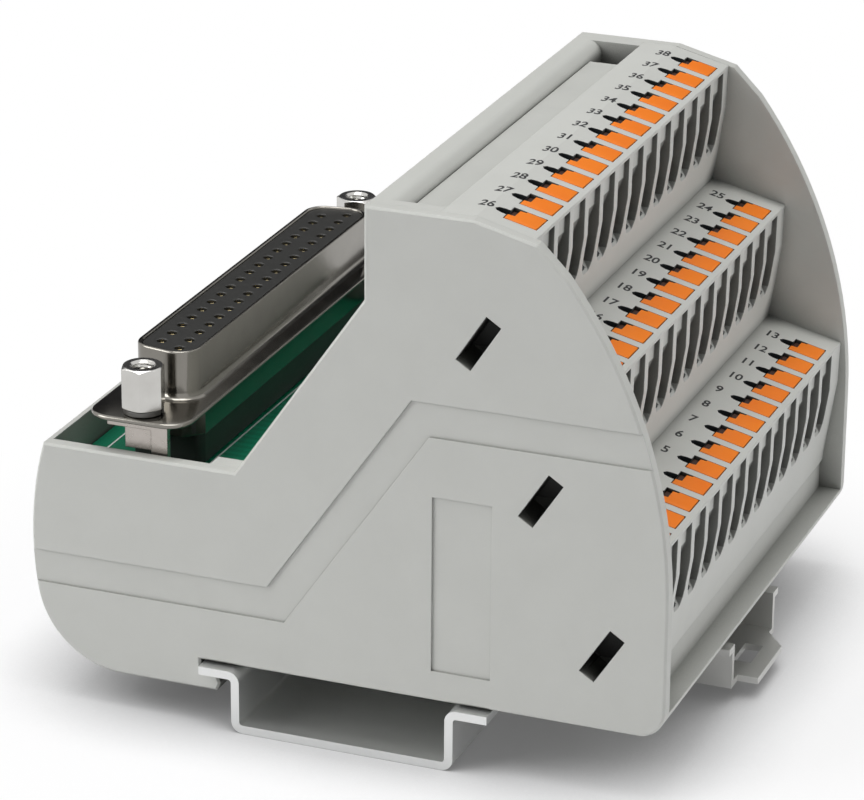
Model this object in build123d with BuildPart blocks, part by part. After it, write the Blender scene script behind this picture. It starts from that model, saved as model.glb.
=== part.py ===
from build123d import *

import math
import os
from dataclasses import dataclass

# Interface module for a 35 mm mounting rail, latched on a short length of that rail.
# The origin is the middle of the rail's underside. X runs across the rail with the
# connector at -X and the terminals at +X, Y runs along the rail and Z points away from it.

# Mounting rail, 35 x 7.5 mm top-hat section
rail_width = 35.0
rail_height = 7.5
rail_sheet = 1.0
rail_channel_width = 27.0
rail_bend = 1.4
rail_overhang = 1.2

# Connector, 37-way D shape
connector_x = -26.05
shell_length = 55.3
shell_width = 7.9
shell_height = 5.8
shell_sheet = 0.5
shell_corner = 2.6
shell_draft = 10.0
screw_margin = 4.1
flange_end = 2.9
flange_width = 12.5
flange_sheet = 0.6
flange_corner = 3.0
flange_top = 35.6
rear_shell_ease = 0.7
rear_shell_width = 10.0
rear_shell_height = 3.5
rear_body_inset = 3.7
rear_body_width = 9.0
insulator_recess = 0.3
contact_pitch = 2.77
contact_row_spacing = 2.84
contact_end_margin = 2.65
contact_radius = 0.75
contact_bore = 0.4
contact_hole_radius = 0.85
contact_recess = 0.5
contact_length = 5.5

# Overall housing
side_margin = 0.85
plate_thickness = 1.6
rail_gap = 0.3
foot_depth = 3.6
foot_hook_reach = 2.0
heel_run = 9.3
heel_rise = 9.0
heel_bulge = 1.2
left_edge = -37.0
box_top = 31.5
notch_x = -13.3
tower_left = 2.3
tower_shoulder = 54.2
tower_top = 65.0
tower_kink = 14.85
plate_corner_x = 22.1
plate_corner_drop = 1.85
lip_front = 37.8
lip_rise = 3.2
lip_run = 2.8
lip_top = 10.5
shelf_front = 35.0
arc_top_run = 3.3
arc_top_fall = 3.3
arc_end_height = 23.4
edge_break = 0.25
cut_over = 5.0

# Relief on the side plates
band_left_height = 14.2
band_right_height = 39.4
band_width = 4.0
band_knee_left = -7.4
band_knee_right = 10.0
band_knee_step = 2.1
relief_depth = 0.25
field_left = 10.4
field_bottom = 11.4
field_width = 7.0
field_height = 21.0
window_length = 6.4
window_width = 2.05
window_angle = 57.0
window_x = 30.4
window_z = 16.7
window_step_x = 7.4
window_step_z = 17.2
window_pocket = 3.5

# Terminal tiers, one behind and above the other
terminal_pitch = 5.0
row_end_room = 2.1
upper_row_start = 3.9
middle_row_start = 7.8
lower_row_start = 2.1
tier_step_x = 7.75
tier_rise = 2.3
tier_lean = 1.5
tier_top_drop = 1.7
corner_x = 36.95
corner_z = 29.9
block_depth = 10.8
lower_block_skirt = 1.3

# Push buttons
button_length = 3.8
button_width = 3.5
button_setback = 0.85
button_raise = 0.05
button_cap = 1.8
button_stem_length = 1.5
button_stem_width = 2.4
button_stem_drop = 3.3
button_travel = 1.2
button_gap = 0.1
button_notch_length = 1.3
button_notch_width = 0.5
button_notch_depth = 0.5

# Release slots, wire funnels and clamp chambers
slot_length = 1.65
slot_width = 1.4
slot_depth = 2.2
funnel_width = 3.8
funnel_top = 0.35
funnel_neck = 2.4
funnel_foot_rise = 2.2
funnel_bottom = 10.4
funnel_depth = 2.9
funnel_rim = 0.6
wire_hole_width = 1.5
chamber_front = 3.5
chamber_back = 7.8
chamber_top = 1.0
chamber_bottom = 9.2
chamber_width = 3.6
clamp_strip = 0.35
clamp_width = 3.0
clamp_gap = 0.05
clamp_front_gap = 0.4
clamp_back_rise = 2.4
clamp_front_rise = 1.5

# Marker trough on the tower
trough_rim = 1.8
trough_flank = 1.7
trough_depth = 2.7
trough_end_wall = 1.5
strip_thickness = 1.5
strip_gap = 0.15
pocket_length = 4.6
pocket_depth = 7.0

# Circuit board and its well
well_wall = 1.8
board_thickness = 1.6
board_top = 27.3
board_right = 22.0
board_gap = 0.2
corner_post_length = 3.6
corner_post_width = 2.2

# Jack screws and board brackets
jack_across_flats = 4.5
jack_height = 5.0
jack_thread_radius = 1.2
jack_thread_depth = 5.0
jack_shank_radius = 1.35
shank_ease = 0.02
flange_hole_ease = 0.1
jack_turn = -14.0
washer_radius = 2.3
washer_thickness = 0.7
bracket_sheet = 0.8
bracket_width = 7.4
bracket_length = 3.6
bracket_leg_width = 2.0
boss_size = 3.2
boss_height = 3.3

# Foot latch
latch_sheet = 0.8
latch_width = 16.8
latch_bottom = 1.95
latch_end = 37.2
latch_tongue = 2.5
latch_tongue_width = 9.4
latch_start = 18.3
latch_flange_start = 21.0
latch_flange_height = 4.6
latch_nose = 2.1
latch_slot_length = 5.0
latch_slot_width = 2.2
latch_lip = 1.2
guide_gap = 0.3
guide_wall = 1.2
guide_length = 12.0

os.makedirs("parts", exist_ok=True)

# Values worked out from the sizes above
screw_spacing = shell_length + 2 * screw_margin
flange_length = screw_spacing + 2 * flange_end
flange_bottom = flange_top - flange_sheet
half_width = flange_length / 2 + side_margin
plate_inner = half_width - plate_thickness
base_z = rail_height + rail_gap
foot_z = base_z - foot_depth
tier_step_z = (tower_top - tier_top_drop - corner_z) / 2
slope = math.atan2(tier_rise, tier_step_x + tier_lean)
block_drop = tier_step_z - tier_rise
upper_x = corner_x - 2 * tier_step_x
upper_z = corner_z + 2 * tier_step_z
trough_right = upper_x - block_depth
trough_floor = tower_top - trough_depth
trough_half = plate_inner - trough_end_wall
board_floor = board_top - board_thickness
well_left = left_edge + well_wall - heel_bulge
lower_floor = corner_z - block_drop - lower_block_skirt


@dataclass(frozen=True)
class Tier:
    """One row of terminals: its front top corner and where its first terminal stands."""

    name: str
    x: float
    z: float
    row_start: float
    skirt: float = 0.0

    def cells(self):
        """Middle of each terminal along Y, as many as fit between the side plates."""
        room = 2 * plate_inner - self.row_start - row_end_room
        count = 1 + int(room / terminal_pitch)
        first = -plate_inner + self.row_start
        return [first + index * terminal_pitch for index in range(count)]

    def places(self):
        """Corner point of each terminal."""
        return [(self.x, y, self.z) for y in self.cells()]


lower_tier = Tier("lower", corner_x, corner_z, lower_row_start, lower_block_skirt)
middle_tier = Tier("middle", corner_x - tier_step_x, corner_z + tier_step_z, middle_row_start)
upper_tier = Tier("upper", upper_x, upper_z, upper_row_start)
tiers = [lower_tier, middle_tier, upper_tier]

# Sloping top of a tier: the origin is the front corner, local x points down the slope
slope_plane = Plane(
    origin=(0, 0, 0),
    x_dir=(math.cos(slope), 0, -math.sin(slope)),
    z_dir=(math.sin(slope), 0, math.cos(slope)),
)


def save(builder, name):
    """Label a finished piece and write it under its own name."""
    builder.part.label = name
    export_step(builder.part, f"parts/{name}.step")


def housing_outline():
    """Closed side view of the housing, shared by the side plates and the body."""
    slot_end = -rail_width / 2 - rail_gap
    hook_top = rail_height - rail_sheet - rail_gap
    bottom_left = (left_edge + heel_run, foot_z)
    bulge_start = (left_edge - heel_bulge, foot_z + heel_rise)
    lip_top_corner = (lip_front, base_z + lip_rise)
    arc_low = (lip_front, arc_end_height)
    plate_corner = (plate_corner_x, tower_top - plate_corner_drop)
    arc_high = (plate_corner[0] + arc_top_run, plate_corner[1] - arc_top_fall)
    with BuildLine() as outline:
        Polyline((tower_left, tower_shoulder), (tower_left, tower_top), (tower_kink, tower_top))
        Polyline((tower_kink, tower_top), plate_corner, arc_high)
        TangentArc(arc_low, arc_high, tangent=(0, 1))
        Line(arc_low, lip_top_corner)
        TangentArc(lip_top_corner, (lip_front - lip_run, base_z), tangent=(0, -1))
        Polyline(
            (lip_front - lip_run, base_z),
            (slot_end, base_z),
            (slot_end, hook_top),
            (slot_end + foot_hook_reach, hook_top),
            (slot_end + foot_hook_reach + 0.4, hook_top - 1.0),
            (slot_end + foot_hook_reach, foot_z),
            bottom_left,
        )
        heel = TangentArc(bottom_left, bulge_start, tangent=(-1, 0))
        TangentArc(bulge_start, (left_edge, box_top), tangent=heel % 1)
        Polyline((left_edge, box_top), (notch_x, box_top), (tower_left, tower_shoulder))
    return outline.line


def window_places():
    """Middle of each slanted window, from the lowest tier up."""
    return [
        (window_x - index * window_step_x, window_z + index * window_step_z)
        for index in range(len(tiers))
    ]


def arch(width, height, sides):
    """Half ellipse as short straight runs, from +width/2 round the tip to -width/2."""
    turns = [math.pi * step / sides for step in range(sides + 1)]
    return [(width / 2 * math.cos(turn), height * math.sin(turn)) for turn in turns]


# Length of mounting rail
flange_x = rail_width / 2
web_x = rail_channel_width / 2
web_inner = web_x - rail_sheet
with BuildPart() as din_rail:
    with BuildSketch(Plane.XZ) as rail_section:
        with BuildLine():
            Polyline(
                (-flange_x, rail_height),
                (-web_inner, rail_height),
                (-web_inner, rail_sheet),
                (web_inner, rail_sheet),
                (web_inner, rail_height),
                (flange_x, rail_height),
                (flange_x, rail_height - rail_sheet),
                (web_x, rail_height - rail_sheet),
                (web_x, 0),
                (-web_x, 0),
                (-web_x, rail_height - rail_sheet),
                (-flange_x, rail_height - rail_sheet),
                (-flange_x, rail_height),
                close=True,
            )
        make_face()
        outer_bends = [
            vertex
            for vertex in rail_section.vertices()
            if (abs(abs(vertex.X) - web_inner) < 0.01 and abs(vertex.Y - rail_height) < 0.01)
            or (abs(abs(vertex.X) - web_x) < 0.01 and abs(vertex.Y) < 0.01)
        ]
        fillet(outer_bends, rail_bend)
        inner_bends = [
            vertex
            for vertex in rail_section.vertices()
            if (abs(abs(vertex.X) - web_inner) < 0.01 and abs(vertex.Y - rail_sheet) < 0.01)
            or (abs(abs(vertex.X) - web_x) < 0.01 and abs(vertex.Y - rail_height + rail_sheet) < 0.01)
        ]
        fillet(inner_bends, rail_bend - rail_sheet)
    extrude(amount=half_width + rail_overhang, both=True)

# Side plates with their shallow band and the slanted windows that the blocks snap into
with BuildPart() as plate_blank:
    with BuildSketch(Plane.XZ.offset(plate_inner)):
        add(housing_outline())
        make_face()
    extrude(amount=plate_thickness - edge_break)
    with BuildSketch(Plane.XZ.offset(half_width - edge_break)):
        add(housing_outline())
        make_face()
    extrude(amount=edge_break, taper=45)
    with BuildSketch(Plane.XZ.offset(half_width)):
        Polygon(
            (left_edge - cut_over, band_left_height),
            (band_knee_left, band_left_height),
            (band_knee_right, band_right_height),
            (lip_front + cut_over, band_right_height),
            (lip_front + cut_over, band_right_height + band_width),
            (band_knee_right - band_knee_step, band_right_height + band_width),
            (band_knee_left - band_knee_step, band_left_height + band_width),
            (left_edge - cut_over, band_left_height + band_width),
            align=None,
        )
    extrude(amount=-relief_depth, mode=Mode.SUBTRACT)
    with BuildSketch(Plane.XZ.offset(half_width)):
        with Locations(*window_places()):
            Rectangle(window_length, window_width, rotation=window_angle)
    extrude(amount=-plate_thickness, mode=Mode.SUBTRACT)

with BuildPart() as near_side_plate:
    add(plate_blank.part)
    with BuildSketch(Plane.XZ.offset(half_width)):
        with Locations((field_left, field_bottom)):
            Rectangle(field_width, field_height, align=(Align.MIN, Align.MIN))
    extrude(amount=-relief_depth, mode=Mode.SUBTRACT)

with BuildPart() as far_side_plate:
    mirror(plate_blank.part, about=Plane.XZ)

# Housing body: foot, board well, tower and the stair that carries the terminal blocks
with BuildPart() as housing_body:
    with BuildSketch(Plane.XZ):
        add(housing_outline())
        make_face()
        Polygon(
            (trough_right, tower_top + cut_over),
            (trough_right, upper_z - block_drop),
            (middle_tier.x - block_depth, upper_z - block_drop),
            (middle_tier.x - block_depth, middle_tier.z - block_drop),
            (lower_tier.x - block_depth, middle_tier.z - block_drop),
            (lower_tier.x - block_depth, lower_floor),
            (shelf_front, lower_floor),
            (shelf_front, lip_top),
            (lip_front + cut_over, lip_top),
            (lip_front + cut_over, tower_top + cut_over),
            align=None,
            mode=Mode.SUBTRACT,
        )
        Polygon(
            (well_left, box_top + cut_over),
            (well_left, board_floor),
            (board_right + board_gap, board_floor),
            (board_right + board_gap, board_top + board_gap),
            (notch_x, board_top + board_gap),
            (notch_x, box_top + cut_over),
            align=None,
            mode=Mode.SUBTRACT,
        )
    extrude(amount=plate_inner, both=True)
    for end in (-1, 1):
        with BuildSketch(Plane.XZ.offset(end * plate_inner)):
            with Locations(*window_places()):
                Rectangle(window_length, window_width, rotation=window_angle)
        extrude(amount=-end * window_pocket, mode=Mode.SUBTRACT)
    with BuildSketch(Plane.XZ):
        with BuildLine():
            Line((trough_right, tower_top + 1), (tower_left + trough_rim, tower_top + 1))
            Line((tower_left + trough_rim, tower_top + 1), (tower_left + trough_rim, tower_top))
            RadiusArc(
                (tower_left + trough_rim, tower_top),
                (tower_left + trough_rim + trough_flank, tower_top - trough_flank),
                trough_flank,
            )
            Polyline(
                (tower_left + trough_rim + trough_flank, tower_top - trough_flank),
                (tower_left + trough_rim + trough_flank, trough_floor),
                (trough_right, trough_floor),
                (trough_right, tower_top + 1),
            )
        make_face()
    extrude(amount=trough_half, both=True, mode=Mode.SUBTRACT)
    with BuildSketch(Plane.XY.offset(tower_top)):
        with Locations(((tower_left + trough_rim + trough_flank + trough_right) / 2, trough_half)):
            Rectangle(
                trough_right - tower_left - trough_rim - trough_flank,
                pocket_length,
                align=(Align.CENTER, Align.MAX),
            )
    extrude(amount=-pocket_depth, mode=Mode.SUBTRACT)
    for end in (-1, 1):
        with BuildSketch(Plane.XY.offset(board_top + board_gap)):
            with Locations((notch_x, end * plate_inner)):
                Rectangle(
                    corner_post_length,
                    corner_post_width,
                    align=(Align.MAX, Align.MIN if end < 0 else Align.MAX),
                )
        extrude(amount=box_top - board_top - board_gap)
    guide_x = latch_flange_start + guide_gap
    lip_y = latch_width / 2 + latch_lip + guide_gap
    lip_z = latch_bottom + latch_sheet + latch_flange_height - latch_sheet - guide_gap
    for side in (-1, 1):
        with BuildSketch(Plane.YZ.offset(guide_x)):
            Polygon(
                (side * lip_y, base_z),
                (side * (lip_y + guide_wall), base_z),
                (side * (lip_y + guide_wall), lip_z - guide_wall),
                (side * (lip_y - latch_lip), lip_z - guide_wall),
                (side * (lip_y - latch_lip), lip_z),
                (side * lip_y, lip_z),
                align=None,
            )
        extrude(amount=guide_length)

# Marker strip that lies in the trough and leaves the finger pocket free
strip_left = tower_left + trough_rim + trough_flank + strip_gap
strip_right = trough_right - strip_gap
with BuildPart() as marker_strip:
    with BuildSketch(Plane.XY.offset(trough_floor)):
        with Locations(((strip_left + strip_right) / 2, -trough_half + strip_gap)):
            Rectangle(
                strip_right - strip_left,
                2 * trough_half - pocket_length - 2 * strip_gap,
                align=(Align.CENTER, Align.MIN),
            )
    extrude(amount=strip_thickness)

# Circuit board
with BuildPart() as circuit_board:
    with BuildSketch(Plane.XY.offset(board_floor)):
        with Locations((well_left + board_gap, 0)):
            Rectangle(
                board_right - well_left - board_gap,
                2 * (plate_inner - board_gap),
                align=(Align.MIN, Align.CENTER),
            )
    extrude(amount=board_thickness)

# Space taken out of a block for one terminal, with the tier's front corner at the origin
with BuildPart() as button_well:
    with BuildSketch(slope_plane):
        with Locations((-button_setback - button_length / 2, 0)):
            Rectangle(button_length + 2 * button_gap, button_width + 2 * button_gap)
    extrude(amount=-(button_cap - button_raise + button_travel + button_gap))
    with BuildSketch(slope_plane):
        with Locations((-button_setback - button_length / 2, 0)):
            Rectangle(button_length + 2 * button_gap, button_width + 2 * button_gap)
    extrude(amount=1.0)

slot_right = -button_setback - button_length
slot_tip = [
    (slot_right - slot_length * 0.4 - along, across)
    for across, along in arch(slot_width, slot_length * 0.6, 4)
]
with BuildPart() as release_slot:
    with BuildSketch(slope_plane.offset(1.0)):
        Polygon((slot_right, slot_width / 2), *slot_tip, (slot_right, -slot_width / 2), align=None)
    extrude(amount=-1.0 - slot_depth)

# Wire funnel: its back wall leans inwards to the foot, and its front view ends in a half round
funnel_foot = funnel_bottom - funnel_foot_rise
funnel_round = [
    (across, funnel_width / 2 - funnel_bottom - down)
    for across, down in arch(funnel_width, funnel_width / 2, 6)
]
with BuildPart() as wire_funnel:
    with BuildSketch(Plane.XZ):
        Polygon(
            (1.0, -funnel_top),
            (-funnel_rim, -funnel_top),
            (-funnel_rim - 0.1, -funnel_top - funnel_neck),
            (-funnel_depth, -funnel_foot),
            (-0.75, -funnel_bottom),
            (1.0, -funnel_bottom),
            align=None,
        )
    extrude(amount=funnel_width / 2, both=True)
    with BuildSketch(Plane.YZ.offset(-funnel_depth - 1)):
        Polygon((funnel_width / 2, 0), *funnel_round, (-funnel_width / 2, 0), align=None)
    extrude(amount=funnel_depth + 2.5, mode=Mode.INTERSECT)

with BuildPart() as wire_hole:
    with BuildSketch(Plane.XZ):
        Polygon(
            (-1.1, -funnel_bottom + 0.4),
            (-2.1, -funnel_foot - 0.4),
            (-chamber_front - 0.2, -funnel_foot + 0.3),
            (-chamber_front - 0.2, -chamber_bottom + 0.2),
            align=None,
        )
    extrude(amount=wire_hole_width / 2, both=True)

with BuildPart() as clamp_chamber:
    with BuildSketch(Plane.XZ):
        Polygon(
            (-chamber_front, -chamber_top),
            (-chamber_back, -chamber_top),
            (-chamber_back, -chamber_bottom),
            (-chamber_front, -chamber_bottom),
            align=None,
        )
    extrude(amount=chamber_width / 2, both=True)

# Terminal blocks
for tier in tiers:
    back_height = min(tier_rise, tower_top - tier.z)
    kink_run = back_height / math.tan(slope)
    with BuildPart() as terminal_block:
        with BuildSketch(Plane.XZ):
            Polygon(
                (tier.x, tier.z),
                (tier.x - 0.1, tier.z - 5.0),
                (tier.x - 0.6 * tier_lean, tier.z - funnel_bottom),
                (tier.x - tier_lean, tier.z - block_drop),
                (tier.x - tier_lean - 0.1 * tier.skirt, tier.z - block_drop - tier.skirt),
                (tier.x - block_depth, tier.z - block_drop - tier.skirt),
                (tier.x - block_depth, tier.z + back_height),
                (tier.x - kink_run, tier.z + back_height),
                align=None,
            )
        extrude(amount=plate_inner, both=True)
        with Locations(*tier.places()):
            add(button_well.part, mode=Mode.SUBTRACT)
            add(release_slot.part, mode=Mode.SUBTRACT)
            add(wire_funnel.part, mode=Mode.SUBTRACT)
            add(wire_hole.part, mode=Mode.SUBTRACT)
            add(clamp_chamber.part, mode=Mode.SUBTRACT)
        for end in (-1, 1):
            with BuildSketch(Plane.XZ.offset(end * plate_inner)):
                with Locations(*window_places()):
                    Rectangle(window_length, window_width, rotation=window_angle)
            extrude(amount=-end * window_pocket, mode=Mode.SUBTRACT)
    save(terminal_block, f"{tier.name}_terminal_block")

# Clamp springs, one bent strip in each chamber
clamp_floor = -chamber_bottom + clamp_gap
clamp_back = -chamber_back + clamp_gap
clamp_front = -chamber_front - clamp_front_gap
with BuildPart() as clamp_spring:
    with BuildSketch(Plane.XZ):
        Polygon(
            (clamp_front, clamp_floor),
            (clamp_back, clamp_floor),
            (clamp_back, clamp_floor + clamp_back_rise),
            (clamp_front, clamp_floor + clamp_front_rise),
            (clamp_front, clamp_floor + clamp_front_rise - clamp_strip),
            (clamp_back + clamp_strip, clamp_floor + clamp_back_rise - 1.5 * clamp_strip),
            (clamp_back + clamp_strip, clamp_floor + clamp_strip),
            (clamp_front, clamp_floor + clamp_strip),
            align=None,
        )
    extrude(amount=clamp_width / 2, both=True)

for tier in tiers:
    with BuildPart() as clamp_springs:
        with Locations(*tier.places()):
            add(clamp_spring.part)
    save(clamp_springs, f"{tier.name}_clamp_springs")

# Push buttons, each a cap in its well with a stem that reaches down to the clamp
cap_middle = -button_setback - button_length / 2
stem_middle = -button_setback - button_length + button_stem_length / 2 + 0.15
with BuildPart() as push_button:
    with BuildSketch(slope_plane.offset(button_raise)):
        with Locations((cap_middle, 0)):
            Rectangle(button_length, button_width)
    extrude(amount=-button_cap)
    with BuildSketch(slope_plane.offset(button_raise)):
        with Locations((cap_middle - button_length / 2, button_width / 2)):
            Rectangle(2 * button_notch_length, 2 * button_notch_width)
    extrude(amount=-button_notch_depth, mode=Mode.SUBTRACT)
    with BuildSketch(slope_plane.offset(button_raise - button_cap)):
        with Locations((stem_middle, 0)):
            Rectangle(button_stem_length, button_stem_width)
    extrude(amount=-button_stem_drop)

for tier in tiers:
    for number, place in enumerate(tier.places(), start=1):
        with BuildPart() as placed_button:
            with Locations(place):
                add(push_button.part)
        save(placed_button, f"{tier.name}_button_{number:02d}")


def d_profile(length, width, corner):
    """D outline about the connector's middle, with its long side towards +X."""
    half_long = length / 2
    half_short = half_long - width * math.tan(math.radians(shell_draft))
    with BuildSketch() as outline:
        Polygon(
            (width / 2, -half_long),
            (width / 2, half_long),
            (-width / 2, half_short),
            (-width / 2, -half_short),
            align=None,
        )
        fillet(outline.vertices(), corner)
    return outline.sketch


# Connector: front shell with its flange
with BuildPart() as connector_shell:
    with BuildSketch(Plane.XY.offset(flange_bottom)) as flange_sketch:
        with Locations((connector_x, 0)):
            RectangleRounded(flange_width, flange_length, flange_corner)
    extrude(amount=flange_sheet)
    with BuildSketch(Plane.XY.offset(flange_bottom)):
        with Locations((connector_x, 0)):
            add(d_profile(shell_length, shell_width, shell_corner))
    extrude(amount=flange_sheet + shell_height)
    with BuildSketch(Plane.XY.offset(flange_bottom)):
        with Locations((connector_x, 0)):
            add(
                d_profile(
                    shell_length - 2 * shell_sheet,
                    shell_width - 2 * shell_sheet,
                    shell_corner - shell_sheet,
                )
            )
    extrude(amount=flange_sheet + shell_height, mode=Mode.SUBTRACT)
    with BuildSketch(Plane.XY.offset(flange_bottom)):
        with Locations((connector_x, -screw_spacing / 2), (connector_x, screw_spacing / 2)):
            RegularPolygon(jack_shank_radius + flange_hole_ease, 8, major_radius=False)
    extrude(amount=flange_sheet, mode=Mode.SUBTRACT)


def bevelled_rectangle(width, length, bevel):
    """Rectangle about the connector's middle with its corners cut off."""
    with BuildSketch() as outline:
        Rectangle(width, length)
        chamfer(outline.vertices(), bevel)
    return outline.sketch


# Connector: rear shell under the flange
rear_shell_bottom = flange_bottom - rear_shell_height
rear_shell_length = shell_length + rear_shell_ease
rear_outer = bevelled_rectangle(rear_shell_width, rear_shell_length, shell_sheet * 4)
rear_inner = bevelled_rectangle(
    rear_shell_width - 2 * shell_sheet, rear_shell_length - 2 * shell_sheet, shell_sheet * 3.4
)
with BuildPart() as connector_rear_shell:
    with BuildSketch(Plane.XY.offset(rear_shell_bottom)):
        with Locations((connector_x, 0)):
            add(rear_outer)
            add(rear_inner, mode=Mode.SUBTRACT)
    extrude(amount=rear_shell_height)

# Contact places in their two staggered rows
long_row = 1 + int((shell_length - 2 * contact_end_margin) / contact_pitch)
short_row = long_row - 1
long_places = [
    (connector_x + contact_row_spacing / 2, (index - (long_row - 1) / 2) * contact_pitch)
    for index in range(long_row)
]
short_places = [
    (connector_x - contact_row_spacing / 2, (index - (short_row - 1) / 2) * contact_pitch)
    for index in range(short_row)
]
contact_places = long_places + short_places

# Connector: insulator with a blind hole for each contact
insulator_top = flange_top + shell_height - insulator_recess
rear_body_length = shell_length - rear_body_inset
with BuildPart() as connector_insulator:
    with BuildSketch(Plane.XY.offset(flange_bottom)):
        with Locations((connector_x, 0)):
            add(
                d_profile(
                    shell_length - 2 * shell_sheet,
                    shell_width - 2 * shell_sheet,
                    shell_corner - shell_sheet,
                )
            )
    extrude(amount=insulator_top - flange_bottom)
    with BuildSketch(Plane.XY.offset(rear_shell_bottom)):
        with Locations((connector_x, 0)):
            add(rear_inner)
    extrude(amount=rear_shell_height)
    with BuildSketch(Plane.XY.offset(board_top)):
        with Locations((connector_x, 0)):
            Rectangle(rear_body_width, rear_body_length)
    extrude(amount=rear_shell_bottom - board_top)
    with BuildSketch(Plane.XY.offset(insulator_top)):
        with Locations(*contact_places):
            RegularPolygon(contact_hole_radius, 6)
    extrude(amount=-contact_recess - contact_length, mode=Mode.SUBTRACT)

# Connector: socket contacts, each standing on the floor of its hole
with BuildPart() as connector_contacts:
    with BuildSketch(Plane.XY.offset(insulator_top - contact_recess)):
        with Locations(*contact_places):
            RegularPolygon(contact_radius, 6)
    extrude(amount=-contact_length)
    with BuildSketch(Plane.XY.offset(insulator_top - contact_recess)):
        with Locations(*contact_places):
            Rectangle(2 * contact_bore, 2 * contact_bore)
    extrude(amount=-contact_length * 0.8, mode=Mode.SUBTRACT)

# Jack screws: hexagonal sleeve, threaded bore and shank through flange and bracket
boss_bottom = flange_bottom - boss_height
washer_top = flange_top + washer_thickness
screw_places = [(connector_x, -screw_spacing / 2), (connector_x, screw_spacing / 2)]
with BuildPart() as jack_screws:
    with BuildSketch(Plane.XY.offset(washer_top)):
        for place, turn in zip(screw_places, (jack_turn, -jack_turn)):
            with Locations(place):
                RegularPolygon(jack_across_flats / 2, 6, major_radius=False, rotation=turn)
    extrude(amount=jack_height - 0.3)
    with BuildSketch(Plane.XY.offset(washer_top + jack_height - 0.3)):
        for place, turn in zip(screw_places, (jack_turn, -jack_turn)):
            with Locations(place):
                RegularPolygon(jack_across_flats / 2, 6, major_radius=False, rotation=turn)
    extrude(amount=0.3, taper=45)
    with BuildSketch(Plane.XY.offset(washer_top)):
        with Locations(*screw_places):
            RegularPolygon(jack_shank_radius, 8, major_radius=False)
    extrude(amount=boss_bottom - washer_top)
    with BuildSketch(Plane.XY.offset(washer_top + jack_height)):
        with Locations(*screw_places):
            Circle(jack_thread_radius)
    extrude(amount=-jack_thread_depth, mode=Mode.SUBTRACT)

with BuildPart() as lock_washers:
    with BuildSketch(Plane.XY.offset(flange_top)):
        with Locations(*screw_places):
            RegularPolygon(washer_radius, 20)
            RegularPolygon(
                jack_shank_radius + shank_ease, 8, major_radius=False, mode=Mode.SUBTRACT
            )
    extrude(amount=washer_thickness)

# Brackets: a plate under the flange, a boss for the screw and a leg down to the board
leg_offset = bracket_width / 2 - bracket_leg_width / 2
with BuildPart() as connector_brackets:
    with BuildSketch(Plane.XY.offset(flange_bottom)):
        with Locations(*screw_places):
            Rectangle(bracket_width, bracket_length)
    extrude(amount=-bracket_sheet)
    with BuildSketch(Plane.XY.offset(flange_bottom)):
        with Locations(*screw_places):
            Rectangle(boss_size, boss_size)
    extrude(amount=-boss_height)
    with BuildSketch(Plane.XY.offset(flange_bottom)):
        for x, y in screw_places:
            side = 1 if y > 0 else -1
            with Locations((x + leg_offset, y + side * (bracket_length - bracket_sheet) / 2)):
                Rectangle(bracket_leg_width, bracket_sheet)
    extrude(amount=board_top - flange_bottom)
    with BuildSketch(Plane.XY.offset(flange_bottom)):
        with Locations(*screw_places):
            RegularPolygon(jack_shank_radius + shank_ease, 8, major_radius=False)
    extrude(amount=-boss_height, mode=Mode.SUBTRACT)

# Foot latch: a folded channel whose nose holds the rail's far flange
latch_half = latch_width / 2
nose_top = rail_height - rail_sheet - rail_gap
web_top = latch_bottom + latch_sheet
flange_top_z = web_top + latch_flange_height - latch_sheet
with BuildPart() as foot_latch:
    with BuildSketch(Plane.XY.offset(latch_bottom)):
        Polygon(
            (latch_start, -latch_half),
            (latch_end, -latch_half),
            (latch_end, -latch_tongue_width / 2 - 1.4),
            (latch_end + latch_tongue, -latch_tongue_width / 2 - 1.4),
            (latch_end + latch_tongue, latch_tongue_width / 2 - 1.4),
            (latch_end, latch_tongue_width / 2 + 1.8),
            (latch_end, latch_half),
            (latch_start, latch_half),
            align=None,
        )
    extrude(amount=latch_sheet)
    with BuildSketch(Plane.YZ.offset(latch_flange_start)):
        for side in (-1, 1):
            Polygon(
                (side * latch_half, latch_bottom),
                (side * latch_half, flange_top_z),
                (side * (latch_half + latch_lip), flange_top_z),
                (side * (latch_half + latch_lip), flange_top_z + latch_sheet),
                (side * (latch_half - latch_sheet), flange_top_z + latch_sheet),
                (side * (latch_half - latch_sheet), latch_bottom),
                align=None,
            )
    extrude(amount=latch_end - latch_flange_start)
    with BuildSketch(Plane.XZ):
        Polygon(
            (latch_start, latch_bottom),
            (latch_start + latch_sheet, latch_bottom),
            (latch_start + latch_sheet, nose_top),
            (latch_start - latch_nose, nose_top),
            (latch_start - latch_nose, nose_top - latch_sheet),
            (latch_start, nose_top - latch_sheet),
            align=None,
        )
    extrude(amount=latch_half, both=True)
    with BuildSketch(Plane.XY.offset(latch_bottom)):
        with Locations((latch_end - 0.6, 0)):
            Rectangle(latch_slot_width, latch_slot_length)
    extrude(amount=latch_sheet, mode=Mode.SUBTRACT)

save(din_rail, "din_rail")
save(near_side_plate, "near_side_plate")
save(far_side_plate, "far_side_plate")
save(housing_body, "housing_body")
save(marker_strip, "marker_strip")
save(circuit_board, "circuit_board")
save(connector_shell, "connector_shell")
save(connector_rear_shell, "connector_rear_shell")
save(connector_insulator, "connector_insulator")
save(connector_contacts, "connector_contacts")
save(jack_screws, "jack_screws")
save(lock_washers, "lock_washers")
save(connector_brackets, "connector_brackets")
save(foot_latch, "foot_latch")
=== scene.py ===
import logging
import math
from dataclasses import dataclass, field
from enum import Enum
from functools import partial
from typing import Any

import bmesh
import bpy
import numpy as np
from mathutils import Matrix


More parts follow.
